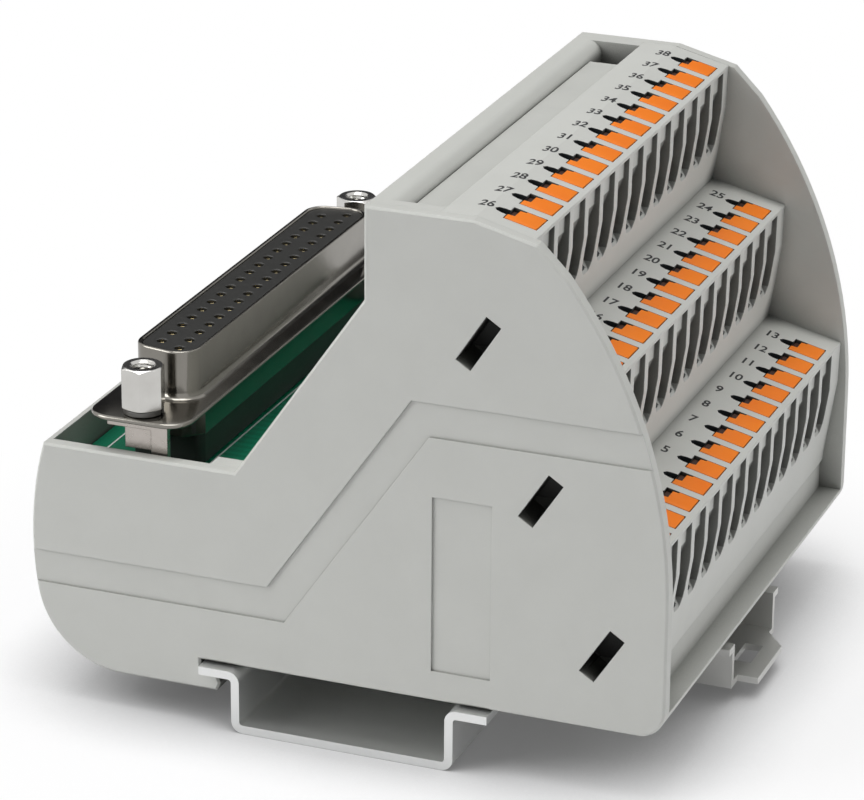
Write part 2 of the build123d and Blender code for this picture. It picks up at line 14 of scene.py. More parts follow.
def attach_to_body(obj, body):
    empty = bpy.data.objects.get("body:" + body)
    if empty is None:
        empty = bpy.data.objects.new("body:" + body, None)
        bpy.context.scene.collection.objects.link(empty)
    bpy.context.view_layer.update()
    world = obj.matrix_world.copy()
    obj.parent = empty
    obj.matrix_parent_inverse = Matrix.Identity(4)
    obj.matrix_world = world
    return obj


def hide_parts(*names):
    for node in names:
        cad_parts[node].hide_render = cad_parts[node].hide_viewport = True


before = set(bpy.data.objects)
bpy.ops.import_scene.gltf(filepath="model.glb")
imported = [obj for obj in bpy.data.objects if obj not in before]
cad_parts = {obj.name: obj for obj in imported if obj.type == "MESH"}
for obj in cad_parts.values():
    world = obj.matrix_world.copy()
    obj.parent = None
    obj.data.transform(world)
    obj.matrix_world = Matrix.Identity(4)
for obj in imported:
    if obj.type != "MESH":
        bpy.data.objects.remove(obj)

# Studio scene for an interface module on a length of mounting rail. Sizes are in
# millimetres in the model's own frame: X runs across the rail with the connector at -X
# and the terminals at +X, Y runs along the rail and Z points up, away from it.

MM = 0.001
WHITE = "#ffffff"
# Share of open sky below which painted shade starts in a pocket.
POCKET_START = 0.74
BEVEL_SAMPLES = 4
# Radius of the smallest ring of a turned form, in millimetres.
POLE = 0.001
# Length of one band of a wave texture at scale 1.
WAVE_BAND = 0.314
# Height of a digit of the built-in typeface as a share of its size.
DIGIT_HEIGHT = 0.7
CORNER_SIGNS = np.array([(1, -1), (1, 1), (-1, 1), (-1, -1)])
log = logging.getLogger("interface_module")


def linear(colour: str) -> tuple[float, float, float, float]:
    """Turns an sRGB hex colour into linear light.

    Args:
        colour: The colour as #rrggbb.

    Returns:
        Red, green, blue and a full alpha.
    """
    coded = np.array([int(colour[start : start + 2], 16) for start in (1, 3, 5)]) / 255
    light = np.where(coded <= 0.04045, coded / 12.92, ((coded + 0.055) / 1.055) ** 2.4)
    return (*light.tolist(), 1.0)


def add_node(
    tree: bpy.types.NodeTree,
    kind: str,
    inputs: dict[Any, Any] | None = None,
    **settings: Any,
) -> bpy.types.Node:
    """Adds a node with its settings, its constants and its links.

    Args:
        tree: The node tree that takes the node.
        kind: The node's type name.
        inputs: For each input socket, a constant, the output socket that feeds it, or
            the node whose first output does.
        settings: The node's own properties.

    Returns:
        The new node.
    """
    node = tree.nodes.new(kind)
    for name, value in settings.items():
        setattr(node, name, value)
    for key, value in (inputs or {}).items():
        if isinstance(value, bpy.types.Node):
            value = value.outputs[0]
        if isinstance(value, bpy.types.NodeSocket):
            tree.links.new(value, node.inputs[key])
        else:
            node.inputs[key].default_value = value
    return node


def empty_material(name: str) -> bpy.types.Material:
    """Makes a material with no nodes in it."""
    material = bpy.data.materials.new(name)
    material.use_nodes = True
    material.node_tree.nodes.clear()
    return material


def paint_shade_in_pockets(
    tree: bpy.types.NodeTree,
    colour: bpy.types.NodeSocket,
    painted_deep_shade: str,
    width: float,
    full: float,
) -> bpy.types.NodeSocket:
    """Paints shade into a colour, darker towards the depth of narrow pockets.

    Args:
        tree: The material's node tree.
        colour: The colour of open faces.
        painted_deep_shade: The colour of the painted shade at the bottom of a pocket.
        width: Width of the pockets that darken, in millimetres.
        full: Share of open sky below which the deep colour is reached.

    Returns:
        The shaded colour's socket.
    """
    add = partial(add_node, tree)
    opening = add("ShaderNodeAmbientOcclusion", {"Distance": width * MM}, samples=8)
    fall = {"Value": opening.outputs["AO"], "From Min": POCKET_START, "From Max": full}
    depth = add("ShaderNodeMapRange", fall)
    tones = {0: depth, 6: colour, 7: linear(painted_deep_shade)}
    return add("ShaderNodeMix", tones, data_type="RGBA").outputs[2]


@dataclass(frozen=True)
class MouldedPlastic:
    """Injection-moulded plastic from a spark-eroded mould.

    Attributes:
        name: Material name.
        colour: Main colour.
        shade: Colour of the faint flow marks, a little darker.
        painted_edge_highlight: Colour of the painted highlight on thin rounded edges.
        roughness: Roughness of the matt skin.
        grain: Width of one grain of the skin in millimetres.
        relief: Height of the grain in millimetres.
        edge: Radius of the edges in millimetres.
        ior: Index of refraction, 1.54 for ABS and 1.53 for polyamide.
        painted_recess_shade: Colour of the painted shade that narrow pockets fall off to, or an
            empty text for none.
        recess: Width of the pockets that darken in millimetres.
        recess_full: Share of open sky at which a pocket is darkest.
        painted_wall_shade: Colour of the painted shade on faces that look along Y or lean out over
            what is below, the side and back walls of the funnels, or an empty text for none.
        flow: Width of the flow marks in millimetres.
        spread: How far the roughness varies either way.
    """

    name: str
    colour: str
    shade: str
    painted_edge_highlight: str
    roughness: float
    grain: float = 0.3
    relief: float = 0.012
    edge: float = 0.16
    ior: float = 1.53
    painted_recess_shade: str = ""
    recess: float = 1.0
    recess_full: float = 0.12
    painted_wall_shade: str = ""
    flow: float = 7.0
    spread: float = 0.05

    def material(self) -> bpy.types.Material:
        """Builds the material.

        Returns:
            A material whose grain, flow marks and edges come from Object coordinates.
        """
        made = empty_material(self.name)
        add = partial(add_node, made.node_tree)
        place = add("ShaderNodeTexCoord").outputs["Object"]
        grain = add(
            "ShaderNodeTexNoise", {"Vector": place, "Scale": 1 / (self.grain * MM), "Detail": 2.0}
        )
        flow = add(
            "ShaderNodeTexNoise",
            {"Vector": place, "Scale": 1 / (self.flow * MM), "Detail": 3.0, "Roughness": 0.55},
        )
        marks = add("ShaderNodeMapRange", {"Value": flow, "From Min": 0.35, "From Max": 0.75})
        tones = {0: marks, 6: linear(self.colour), 7: linear(self.shade)}
        colour = add("ShaderNodeMix", tones, data_type="RGBA").outputs[2]
        bevel = add("ShaderNodeBevel", {"Radius": self.edge * MM}, samples=BEVEL_SAMPLES)
        normal = add("ShaderNodeNewGeometry").outputs["Normal"]
        # Faces that look along Y or lean out over what is below are painted darker as shade.
        if self.painted_wall_shade:
            ways = add("ShaderNodeSeparateXYZ", {0: normal}).outputs
            across = add("ShaderNodeMath", {0: ways["Y"]}, operation="ABSOLUTE")
            side = add("ShaderNodeMapRange", {"Value": across, "From Min": 0.6, "From Max": 0.9})
            lean = {"Value": ways["Z"], "From Min": -0.27, "From Max": -0.35}
            back = add("ShaderNodeMapRange", lean)
            wall = add("ShaderNodeMath", {0: side, 1: back}, operation="MAXIMUM")
            tones = {0: wall, 6: colour, 7: linear(self.painted_wall_shade)}
            colour = add("ShaderNodeMix", tones, data_type="RGBA").outputs[2]
        # Thin rounded edges, where the bevel's normal turns away, take a painted highlight.
        turn = add("ShaderNodeVectorMath", {0: bevel, 1: normal}, operation="DOT_PRODUCT")
        bend = {"From Min": 0.995, "From Max": 0.85, "To Max": 0.6}
        rim = add("ShaderNodeMapRange", {"Value": turn.outputs["Value"], **bend})
        tones = {0: rim, 6: colour, 7: linear(self.painted_edge_highlight)}
        colour = add("ShaderNodeMix", tones, data_type="RGBA").outputs[2]
        # Narrow pockets fall off to painted shade.
        if self.painted_recess_shade:
            colour = paint_shade_in_pockets(
                made.node_tree, colour, self.painted_recess_shade, self.recess, self.recess_full
            )
        bump = add(
            "ShaderNodeBump",
            {"Height": grain, "Distance": self.relief * MM, "Strength": 0.6, "Normal": bevel},
        )
        low, high = self.roughness - self.spread, self.roughness + self.spread
        sheen = add("ShaderNodeMapRange", {"Value": grain, "To Min": low, "To Max": high})
        shader = add(
            "ShaderNodeBsdfPrincipled",
            {"Base Color": colour, "Roughness": sheen, "Normal": bump, "IOR": self.ior},
        )
        add("ShaderNodeOutputMaterial", {"Surface": shader})
        return made


@dataclass(frozen=True)
class PlatedMetal:
    """Sheet or turned metal under a plated coat.

    Attributes:
        name: Material name.
        colour: Colour of the bright coat.
        stain: Colour of the duller clouds in it.
        roughness: Roughness of the bright coat.
        dullness: How much rougher the clouds are.
        line: Length and width of the rolling or turning lines in millimetres, along X, Y and Z.
        relief: Depth of those lines in millimetres.
        edge: Radius of the edges in millimetres.
        painted_recess_shade: Colour of the painted shade that narrow pockets fall off to, or an
            empty text for none.
        recess: Width of the pockets that darken in millimetres.
        recess_full: Share of open sky at which a pocket is darkest.
        cloud: Width of the clouds in millimetres.
    """

    name: str
    colour: str
    stain: str
    roughness: float
    dullness: float = 0.12
    line: tuple[float, float, float] = (0.2, 8.0, 0.2)
    relief: float = 0.002
    edge: float = 0.12
    painted_recess_shade: str = ""
    recess: float = 1.0
    recess_full: float = 0.3
    cloud: float = 3.0

    def material(self) -> bpy.types.Material:
        """Builds the material.

        Returns:
            A metallic material with stretched rolling lines and soft clouds.
        """
        made = empty_material(self.name)
        add = partial(add_node, made.node_tree)
        place = add("ShaderNodeTexCoord").outputs["Object"]
        scale = [1 / (size * MM) for size in self.line]
        stretch = add("ShaderNodeMapping", {"Vector": place, "Scale": scale})
        lines = add("ShaderNodeTexNoise", {"Vector": stretch, "Scale": 1.0, "Detail": 3.0})
        clouds = add(
            "ShaderNodeTexNoise",
            {"Vector": place, "Scale": 1 / (self.cloud * MM), "Detail": 4.0, "Roughness": 0.6},
        )
        tones = {0: clouds, 6: linear(self.colour), 7: linear(self.stain)}
        colour = add("ShaderNodeMix", tones, data_type="RGBA").outputs[2]
        # Narrow pockets fall off to painted shade.
        if self.painted_recess_shade:
            colour = paint_shade_in_pockets(
                made.node_tree, colour, self.painted_recess_shade, self.recess, self.recess_full
            )
        clear = {"Value": clouds, "From Min": 0.3, "From Max": 0.7}
        dull = {"To Min": self.roughness, "To Max": self.roughness + self.dullness}
        rough = add("ShaderNodeMapRange", clear | dull)
        bevel = add("ShaderNodeBevel", {"Radius": self.edge * MM}, samples=BEVEL_SAMPLES)
        bump = add(
            "ShaderNodeBump",
            {"Height": lines, "Distance": self.relief * MM, "Strength": 0.5, "Normal": bevel},
        )
        shader = add(
            "ShaderNodeBsdfPrincipled",
            {"Base Color": colour, "Roughness": rough, "Normal": bump, "Metallic": 1.0},
        )
        add("ShaderNodeOutputMaterial", {"Surface": shader})
        return made


@dataclass(frozen=True)
class SolderMask:
    """Glass-fibre board under a glossy solder mask.

    Attributes:
        name: Material name.
        colour: Colour of the mask over the bare laminate.
        shade: Colour in the valleys of the glass weave.
        roughness: Roughness of the cured mask.
        weave: Spacing of the glass bundles in millimetres.
    """

    name: str
    colour: str
    shade: str
    roughness: float = 0.34
    weave: float = 0.5

    def material(self) -> bpy.types.Material:
        """Builds the material.

        Returns:
            A coated material with the print-through of a plain glass weave.
        """
        made = empty_material(self.name)
        add = partial(add_node, made.node_tree)
        place = add("ShaderNodeTexCoord").outputs["Object"]
        band = {"Vector": place, "Scale": WAVE_BAND / (self.weave * MM), "Distortion": 0.4}
        waves = {
            number: add("ShaderNodeTexWave", band, bands_direction=way).outputs["Fac"]
            for number, way in enumerate("XY")
        }
        weave = add("ShaderNodeMath", waves, operation="MULTIPLY")
        tones = {0: weave, 6: linear(self.colour), 7: linear(self.shade)}
        tone = add("ShaderNodeMix", tones, data_type="RGBA").outputs[2]
        bump = add("ShaderNodeBump", {"Height": weave, "Distance": 0.01 * MM, "Strength": 0.4})
        shader = add(
            "ShaderNodeBsdfPrincipled",
            {
                "Base Color": tone,
                "Roughness": self.roughness,
                "Normal": bump,
                "IOR": 1.52,
                "Coat Weight": 0.15,
                "Coat Roughness": 0.1,
            },
        )
        add("ShaderNodeOutputMaterial", {"Surface": shader})
        return made


class Finish(Enum):
    """The finishes of the module, each built once."""

    # Light grey polyamide of the housing: an even matt skin, with a painted highlight along its
    # thin edges and painted shade deep in its narrow pockets.
    HOUSING = MouldedPlastic(
        "housing_polyamide",
        "#cdcec9",
        "#cacbc6",
        "#e2e3df",
        0.56,
        grain=0.32,
        relief=0.014,
        painted_recess_shade="#3c3d39",
        recess=7.0,
        recess_full=0.1,
    )
    # The terminal blocks are a shade lighter; painted shade darkens their scooped funnels inwards
    # and their side and back walls.
    TERMINAL = MouldedPlastic(
        "terminal_polyamide",
        "#d3d4cf",
        "#cfd0cb",
        "#eeefeb",
        0.5,
        grain=0.25,
        edge=0.2,
        painted_recess_shade="#1f201e",
        recess=4.0,
        recess_full=0.3,
        painted_wall_shade="#8e8f8a",
    )
    # Satin orange polyamide of the push buttons.
    BUTTON = MouldedPlastic(
        "button_polyamide",
        "#ff8606",
        "#fb7c04",
        "#ff9c30",
        0.5,
        grain=0.2,
        relief=0.006,
        edge=0.12,
    )
    # The hollow for the screwdriver is the same plastic, painted dark brown as shade.
    NOTCH = MouldedPlastic("notch_painted_shade", "#3c1c0a", "#2c1407", "#5a2c10", 0.6, grain=0.2)
    # Charcoal linings in the release slots and wire entries, painted shade that stands for their
    # depth.
    SLOT = MouldedPlastic("slot_shade_lining", "#1d2224", "#171b1d", "#2c3234", 0.5, grain=0.2)
    # Pale marker strip, smoother than the housing it lies in.
    MARKER = MouldedPlastic(
        "marker_polycarbonate", "#cfd0cb", "#c9cac5", "#dfe0dc", 0.45, grain=0.5, ior=1.585
    )
    # Black glass-filled polyester of the connector body, a little glossy.
    INSULATOR = MouldedPlastic(
        "insulator_polyester", "#242422", "#1e1e1c", "#383835", 0.42, grain=0.35, ior=1.57
    )
    # Black printing ink of the terminal numbers and white ink of the board's outline.
    BLACK_INK = MouldedPlastic("number_ink", "#1b1b1d", "#232325", "#1b1b1d", 0.6, grain=0.15)
    WHITE_INK = MouldedPlastic("outline_ink", "#e4eae6", "#d7dfda", "#e4eae6", 0.55, grain=0.15)
    # Nickel on the drawn steel shell, close to a mirror but given a darker colour as painted shade
    # so that it mirrors darker, and bright nickel on the turned jack posts.
    NICKEL = PlatedMetal(
        "bright_nickel", "#8a8781", "#7b7872", 0.13, dullness=0.07, relief=0.0004
    )
    POST = PlatedMetal(
        "turned_nickel", "#cdccc9", "#bbb9b5", 0.17, dullness=0.08, line=(0.6, 0.6, 0.08)
    )
    # Dark zinc of the spring washers and the tin coat of the brackets.
    WASHER = PlatedMetal("dark_zinc", "#6d6c6a", "#5a5957", 0.35)
    BRACKET = PlatedMetal(
        "tin_plate", "#b9b3ad", "#a39d97", 0.22, line=(0.15, 0.15, 4.0), relief=0.001
    )
    # Zinc-plated steel of the rail and the foot latch: silvery, softly clouded, rolled along Y. The
    # rail's channel is darkened inwards with painted shade.
    RAIL = PlatedMetal(
        "rail_zinc",
        "#b9bab5",
        "#a2a39e",
        0.26,
        dullness=0.14,
        line=(0.25, 14.0, 0.25),
        painted_recess_shade="#0f120f",
        recess=12.0,
    )
    LATCH = PlatedMetal("latch_zinc", "#aeaca5", "#928f88", 0.2, line=(8.0, 0.25, 0.25))
    # Thin gold flash in the sockets, dull in their shade, and bright spring steel in the clamps.
    GOLD = PlatedMetal("contact_gold", "#b3ad9d", "#9a9484", 0.3, line=(0.1, 0.1, 1.0))
    SPRING = PlatedMetal("spring_steel", "#b3b2ae", "#9d9c98", 0.28, line=(0.2, 3.0, 0.2))
    # Green solder mask over bare laminate, and lighter where copper lies under it.
    MASK = SolderMask("solder_mask", "#047c5a", "#036e50")
    TRACK = SolderMask("masked_copper", "#0a8a66", "#08805e", weave=0.9)

    def material(self) -> bpy.types.Material:
        """Gives the finish's material, made on its first use."""
        found = bpy.data.materials.get(self.value.name)
        return found or self.value.material()


def add_object(name: str, data: bpy.types.ID) -> bpy.types.Object:
    """Adds an object with the given mesh, lamp or camera to the scene."""
    made = bpy.data.objects.new(name, data)
    bpy.context.scene.collection.objects.link(made)
    return made


def mesh_points(mesh: bpy.types.Mesh) -> np.ndarray:
    """Reads the points of a mesh, one row each."""
    spots = np.zeros(len(mesh.vertices) * 3)
    mesh.vertices.foreach_get("co", spots)
    return spots.reshape(-1, 3)


def direction(azimuth: float, elevation: float = 0.0) -> np.ndarray:
    """Gives the way out at an azimuth, 0 towards -Y and 90 towards +X, in degrees."""
    a, e = math.radians(azimuth), math.radians(elevation)
    return np.array([math.sin(a) * math.cos(e), -math.cos(a) * math.cos(e), math.sin(e)])


@dataclass
class Surface:
    """Gathers the points and faces of one mesh, in millimetres."""

    points: list[np.ndarray] = field(default_factory=list)
    faces: list[list[int]] = field(default_factory=list)
    size: int = 0

    def add_points(self, points: np.ndarray) -> int:
        """Stores points and gives the number of the first."""
        first = self.size
        flat = points.reshape(-1, 3)
        self.points.append(flat)
        self.size += len(flat)
        return first

    def add_grid(self, points: np.ndarray, closed: bool = False) -> None:
        """Adds the quads of a grid of points.

        Args:
            points: Array of rows by columns by 3, one row for each step across.
            closed: True where the last column joins the first.
        """
        rows, columns = points.shape[:2]
        first = self.add_points(points)
        row = np.arange(rows - 1)[:, None] * columns
        here = np.arange(columns if closed else columns - 1)[None, :]
        there = (here + 1) % columns
        quads = np.stack(
            [row + here, row + there, row + columns + there, row + columns + here], axis=-1
        )
        self.faces += (quads.reshape(-1, 4) + first).tolist()

    def add_face(self, ring: np.ndarray) -> None:
        """Adds one flat face round a ring of points."""
        first = self.add_points(ring)
        self.faces.append(list(range(first, first + len(ring))))

    def build(
        self, name: str, finish: Finish, smooth_below: float = 30.0, solid: bool = True
    ) -> bpy.types.Object:
        """Turns the gathered faces into an object at the origin.

        Args:
            name: Piece name.
            finish: The finish of all its faces.
            smooth_below: Faces that meet at less than this angle in degrees shade as one.
            solid: True for closed forms, whose faces are turned outwards together. The
                faces of other forms keep the winding of their grids.

        Returns:
            The new object, in metres.
        """
        mesh = bpy.data.meshes.new(name)
        mesh.from_pydata((np.concatenate(self.points) * MM).tolist(), [], self.faces)
        form = bmesh.new()
        form.from_mesh(mesh)
        bmesh.ops.remove_doubles(form, verts=form.verts, dist=1e-7)
        if solid:
            bmesh.ops.recalc_face_normals(form, faces=form.faces)
        form.to_mesh(mesh)
        form.free()
        mesh.shade_smooth()
        mesh.set_sharp_from_angle(angle=math.radians(smooth_below))
        mesh.materials.append(finish.material())
        return add_object(name, mesh)


def dress(node: str, finish: Finish) -> None:
    """Gives a carried-over CAD node its finish."""
    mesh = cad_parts[node].data
    mesh.materials.clear()
    mesh.materials.append(finish.material())
    log.info("node %s takes %s", node, finish.name)


def attach(piece: bpy.types.Object, body: str, slot: str, *nodes: str) -> None:
    """Lets a new piece ride on its body and hides the nodes that it stands for.

    Args:
        piece: The new piece.
        body: Name of the CAD body that carries it.
        slot: The record's material slot; not used.
        nodes: The CAD nodes that it replaces.
    """
    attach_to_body(piece, body)
    if nodes:
        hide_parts(*nodes)
    log.info("piece %s rides on %s, %d faces", piece.name, body, len(piece.data.polygons))


@dataclass
class CornerPath:
    """Outline of a convex form whose corners are round.

    Attributes:
        corners: The sharp corners in turning order, one row each.
        radius: Radius of the round corners in millimetres.
        steps: Points on each round corner.
    """

    corners: np.ndarray
    radius: float
    steps: int = 9

    def ring(self, grow: float, height: float) -> np.ndarray:
        """Walks round the outline at one height.

        Each point is its corner's centre plus the radius, and the growth, times a
        direction that turns from one side's normal to the next side's.

        Args:
            grow: How far outside the outline the ring runs, in millimetres.
            height: Z of the ring.

        Returns:
            The ring's points, one row each.
        """
        runs = np.roll(self.corners, -1, axis=0) - self.corners
        normals = np.stack([runs[:, 1], -runs[:, 0]], axis=1)
        normals /= np.linalg.norm(normals, axis=1, keepdims=True)
        before = np.roll(normals, 1, axis=0)
        spread = 1 + np.sum(before * normals, axis=1, keepdims=True)
        centres = self.corners - self.radius * (before + normals) / spread
        start = np.arctan2(before[:, 1], before[:, 0])
        turn = (np.arctan2(normals[:, 1], normals[:, 0]) - start) % (2 * math.pi)
        angle = start[:, None] + turn[:, None] * np.linspace(0, 1, self.steps)[None, :]
        reach = (self.radius + grow) * np.stack([np.cos(angle), np.sin(angle)], axis=-1)
        flat = (centres[:, None, :] + reach).reshape(-1, 2)
        return np.column_stack([flat, np.full(len(flat), height)])


@dataclass
class Connector:
    """The D connector with its shell, jack posts and washers."""

    x: float = -26.05
    screw_y: float = 31.75
    flange: tuple[float, float] = (12.5, 69.3)
    flange_top: float = 35.6
    sheet: float = 0.6
    shell: tuple[float, float] = (7.9, 55.3)
    shell_top: float = 41.4
    wall: float = 0.5
    draft: float = 10.0
    root: float = 0.8
    post_flat: float = 4.5
    post_bottom: float = 36.3
    post_top: float = 41.3
    post_turn: float = -14.0
    bore: float = 1.2
    bore_depth: float = 5.0
    bore_mouth: tuple[float, float, float] = (0.3, 0.05, 0.25)
    bore_end: tuple[float, float] = (0.9, 0.3)
    thread_pitch: float = 0.635
    thread_height: float = 0.28
    thread_slack: float = 0.02
    thread_run: tuple[float, float] = (0.3, 0.4)
    thread_steps: int = 8
    chamfer: float = 30.0
    chamfer_top: float = 0.96
    chamfer_bottom: float = 0.6
    post_steps: int = 72
    shank: float = 1.35
    shank_bottom: float = 31.7
    washer: tuple[float, float] = (1.42, 2.3)
    washer_height: float = 0.55
    washer_lift: float = 0.01
    washer_climb: float = 0.12
    washer_gap: float = 8.0
    washer_steps: int = 49
    face_top: float = 41.1
    face_depth: float = 6.4
    face_edge: float = 0.1
    hole: float = 0.6
    socket: tuple[float, float] = (0.46, 0.3)
    socket_top: float = 40.75
    socket_depth: tuple[float, float] = (4.5, 4.0)
    socket_lip: tuple[float, float] = (0.12, 0.14)
    rows: tuple[tuple[float, int], ...] = ((-24.63, 19), (-27.47, 18))
    pitch: float = 2.77
    rear: tuple[float, float] = (9.0, 55.0)
    rear_corner: float = 1.6
    rear_bottom: float = 31.5
    body: tuple[float, float] = (9.0, 51.6)
    body_corner: float = 1.2
    body_bottom: float = 27.3
    body_edge: float = 0.35
    body_overlap: float = 0.2

    def places(self) -> np.ndarray:
        """Gives X and Y of every contact, one row each."""
        rows = []
        for x, count in self.rows:
            y = (np.arange(count) - (count - 1) / 2) * self.pitch
            rows.append(np.column_stack([np.full(count, x), y]))
        return np.concatenate(rows)

    def rounded_box(
        self, size: tuple[float, float], radius: float, low: float, high: float, edge: float
    ) -> np.ndarray:
        """Rings of an upright box whose edges are quarter rounds all the way about.

        Args:
            size: Width along X and length along Y.
            radius: Radius of the upright edges.
            low: Z of the bottom.
            high: Z of the top.
            edge: Radius of the level edges.

        Returns:
            Array of rings by points by 3, from the bottom up.
        """
        path = CornerPath(CORNER_SIGNS * (size[0] / 2, size[1] / 2) + (self.x, 0), radius, 7)
        turns = np.linspace(-math.pi / 2, math.pi / 2, 8)
        middle = np.where(turns < 0, low + edge, high - edge)
        return np.array(
            [
                path.ring(-edge + edge * math.cos(turn), level + edge * math.sin(turn))
                for turn, level in zip(turns, middle)
            ]
        )

    def make_insulator(self) -> bpy.types.Object:
        """Moulds the face with its holes, and the body behind it.

        The face is a flat curve: the D outline turns one way and the holes' circles the
        other, so that filling and thickening it leaves the holes open and bevels both.

        Returns:
            The insulator as one piece.
        """
        turn = np.linspace(0, -2 * math.pi, 16, endpoint=False)
        circle = self.hole * np.column_stack([np.cos(turn), np.sin(turn)])
        outlines = [self.d_path().ring(-self.wall, 0.0)[:, :2]]
        outlines += [circle + place for place in self.places()]
        drawing = bpy.data.curves.new("face", "CURVE")
        drawing.dimensions = "2D"
        drawing.fill_mode = "BOTH"
        drawing.bevel_depth = self.face_edge
        drawing.bevel_resolution = 1
        drawing.offset = -self.face_edge
        drawing.extrude = self.face_depth / 2 - self.face_edge
        for outline in outlines:
            spline = drawing.splines.new("POLY")
            spline.points.add(len(outline) - 1)
            flat = np.column_stack([outline, np.zeros(len(outline)), np.ones(len(outline))])
            spline.points.foreach_set("co", flat.ravel())
            spline.use_cyclic_u = True
        holder = bpy.data.objects.new("face", drawing)
        solid = bpy.data.meshes.new_from_object(holder)
        moulded = Surface()
        moulded.add_points(mesh_points(solid) + (0, 0, self.face_top - self.face_depth / 2))
        moulded.faces += [list(face.vertices) for face in solid.polygons]
        bpy.data.objects.remove(holder)
        bpy.data.curves.remove(drawing)
        bpy.data.meshes.remove(solid)
        level = self.face_top - self.face_depth
        for size, radius, low, high in (
            (self.rear, self.rear_corner, self.rear_bottom, level),
            (self.body, self.body_corner, self.body_bottom, self.rear_bottom + self.body_overlap),
        ):
            rings = self.rounded_box(size, radius, low, high, self.body_edge)
            moulded.add_grid(rings, closed=True)
            moulded.add_face(rings[0])
            moulded.add_face(rings[-1])
        return moulded.build("moulded_insulator", Finish.INSULATOR, smooth_below=15)

    def make_sockets(self) -> bpy.types.Object:
        """Turns the socket contacts: a tube's profile carried round each contact's middle."""
        (outer, inner), top = self.socket, self.socket_top
        length, bore = self.socket_depth
        outer_lip, inner_lip = self.socket_lip
        radius = [outer, outer, (outer + inner) / 2, inner, inner, POLE]
        height = [top - length, top - outer_lip, top, top - inner_lip, top - bore, top - bore]
        profile = np.column_stack([radius, height])
        turn = np.linspace(0, 2 * math.pi, 12, endpoint=False)
        x = profile[:, :1] * np.cos(turn)
        y = profile[:, :1] * np.sin(turn)
        z = np.broadcast_to(profile[:, 1:], x.shape)
        tube = np.stack([x, y, z], axis=-1)
        sockets = Surface()
        for place in self.places():
            sockets.add_grid(tube + (*place, 0), closed=True)
        return sockets.build("turned_sockets", Finish.GOLD, smooth_below=40)

    def d_path(self) -> CornerPath:
        """Outline of the D, with its long side towards +X."""
        half_width, half_long = self.shell[0] / 2, self.shell[1] / 2
        half_short = half_long - self.shell[0] * math.tan(math.radians(self.draft))
        corners = [
            (self.x + half_width, -half_long),
            (self.x + half_width, half_long),
            (self.x - half_width, half_short),
            (self.x - half_width, -half_short),
        ]
        return CornerPath(np.array(corners), 2.6)

    def flange_path(self) -> CornerPath:
        """Outline of the flange."""
        half_width, half_long = self.flange[0] / 2, self.flange[1] / 2
        return CornerPath(CORNER_SIGNS * (half_width, half_long) + (self.x, 0), 3.0)

    def make_shell(self) -> bpy.types.Object:
        """Builds the drawn shell with its flange.

        One profile runs round the D: up the inner wall, over the rolled rim, down the
        outer wall, out through the root's quarter round, over the flange and its half
        round edge, and back under it. On the flange the D's rings give way to rings of
        a rounded rectangle with as many points.

        Returns:
            The shell as one closed piece.
        """
        inner, outer = self.d_path(), self.flange_path()
        bottom = self.flange_top - self.sheet
        rim, edge = self.wall / 2, self.sheet / 2
        rings = [inner.ring(-self.wall, bottom), inner.ring(-self.wall, self.flange_top)]
        half, quarter = math.pi, math.pi / 2
        arcs = (
            (inner, rim, -rim, self.shell_top - rim, np.linspace(half, 0, 7)),
            (
                inner,
                self.root,
                self.root,
                self.flange_top + self.root,
                np.linspace(half, 1.5 * half, 6),
            ),
            (outer, edge, -edge, self.flange_top - edge, np.linspace(quarter, -quarter, 7)),
        )
        for path, radius, centre, height, turns in arcs:
            rings += [
                path.ring(centre + radius * math.cos(a), height + radius * math.sin(a))
                for a in turns
            ]
        rings.append(rings[0])
        shell = Surface()
        shell.add_grid(np.array(rings), closed=True)
        return shell.build("drawn_shell", Finish.NICKEL, smooth_below=50)

    def post_rings(self, middle: tuple[float, float], turn: float) -> np.ndarray:
        """Works out one jack post as rings from its shank up and down into its bore.

        The hexagon's radius is the flat's distance over the cosine of the angle from
        the flat's middle. The turned chamfer lowers each point by its radius beyond the
        top circle, times the tangent of the chamfer's angle. The thread's radius falls
        and rises as a triangle wave of height less the turned share of one pitch.

        Args:
            middle: X and Y of the post.
            turn: Turn of the hexagon in degrees.

        Returns:
            Array of rings by points by 3.
        """
        angle = math.radians(turn) + np.linspace(0, 2 * math.pi, self.post_steps, endpoint=False)
        sixth = math.pi / 3
        off = (angle - math.radians(turn)) % sixth - sixth / 2
        flat = self.post_flat / 2
        hexagon = flat / np.cos(off)
        circle = self.chamfer_top * flat
        drop = (hexagon - circle) * math.tan(math.radians(self.chamfer))
        top = self.post_top
        wide, narrow, mouth = self.bore_mouth
        tip, cone = self.bore_end
        layers = [
            (POLE, self.shank_bottom),
            (self.shank, self.shank_bottom),
            (self.shank, self.post_bottom),
            (circle, self.post_bottom),
            (hexagon, self.post_bottom + self.chamfer_bottom * drop),
            (hexagon, top - drop),
            (circle, top),
            (self.bore + wide, top),
            (self.bore + narrow, top - mouth),
        ]
        start, rest = self.thread_run
        step = self.thread_pitch / self.thread_steps
        for depth in np.arange(start, self.bore_depth - rest, step):
            share = (depth / self.thread_pitch + angle / (2 * math.pi)) % 1
            wave = 0.5 - np.abs(share - 0.5)
            crest = self.bore - self.thread_height * wave + self.thread_slack
            layers.append((crest, top - depth))
        layers.append((tip, top - self.bore_depth + cone))
        layers.append((POLE, top - self.bore_depth))
        radius, height = (
            np.array([np.broadcast_to(layer[part], angle.shape) for layer in layers])
            for part in (0, 1)
        )
        return np.stack(
            [middle[0] + radius * np.cos(angle), middle[1] + radius * np.sin(angle), height],
            axis=-1,
        )

    def make_posts(self) -> bpy.types.Object:
        """Builds both jack posts as one piece."""
        posts = Surface()
        for side in (-1, 1):
            rings = self.post_rings((self.x, side * self.screw_y), -side * self.post_turn)
            posts.add_grid(rings, closed=True)
            posts.add_face(rings[0])
            posts.add_face(rings[-1])
        return posts.build("jack_posts", Finish.POST, smooth_below=24)

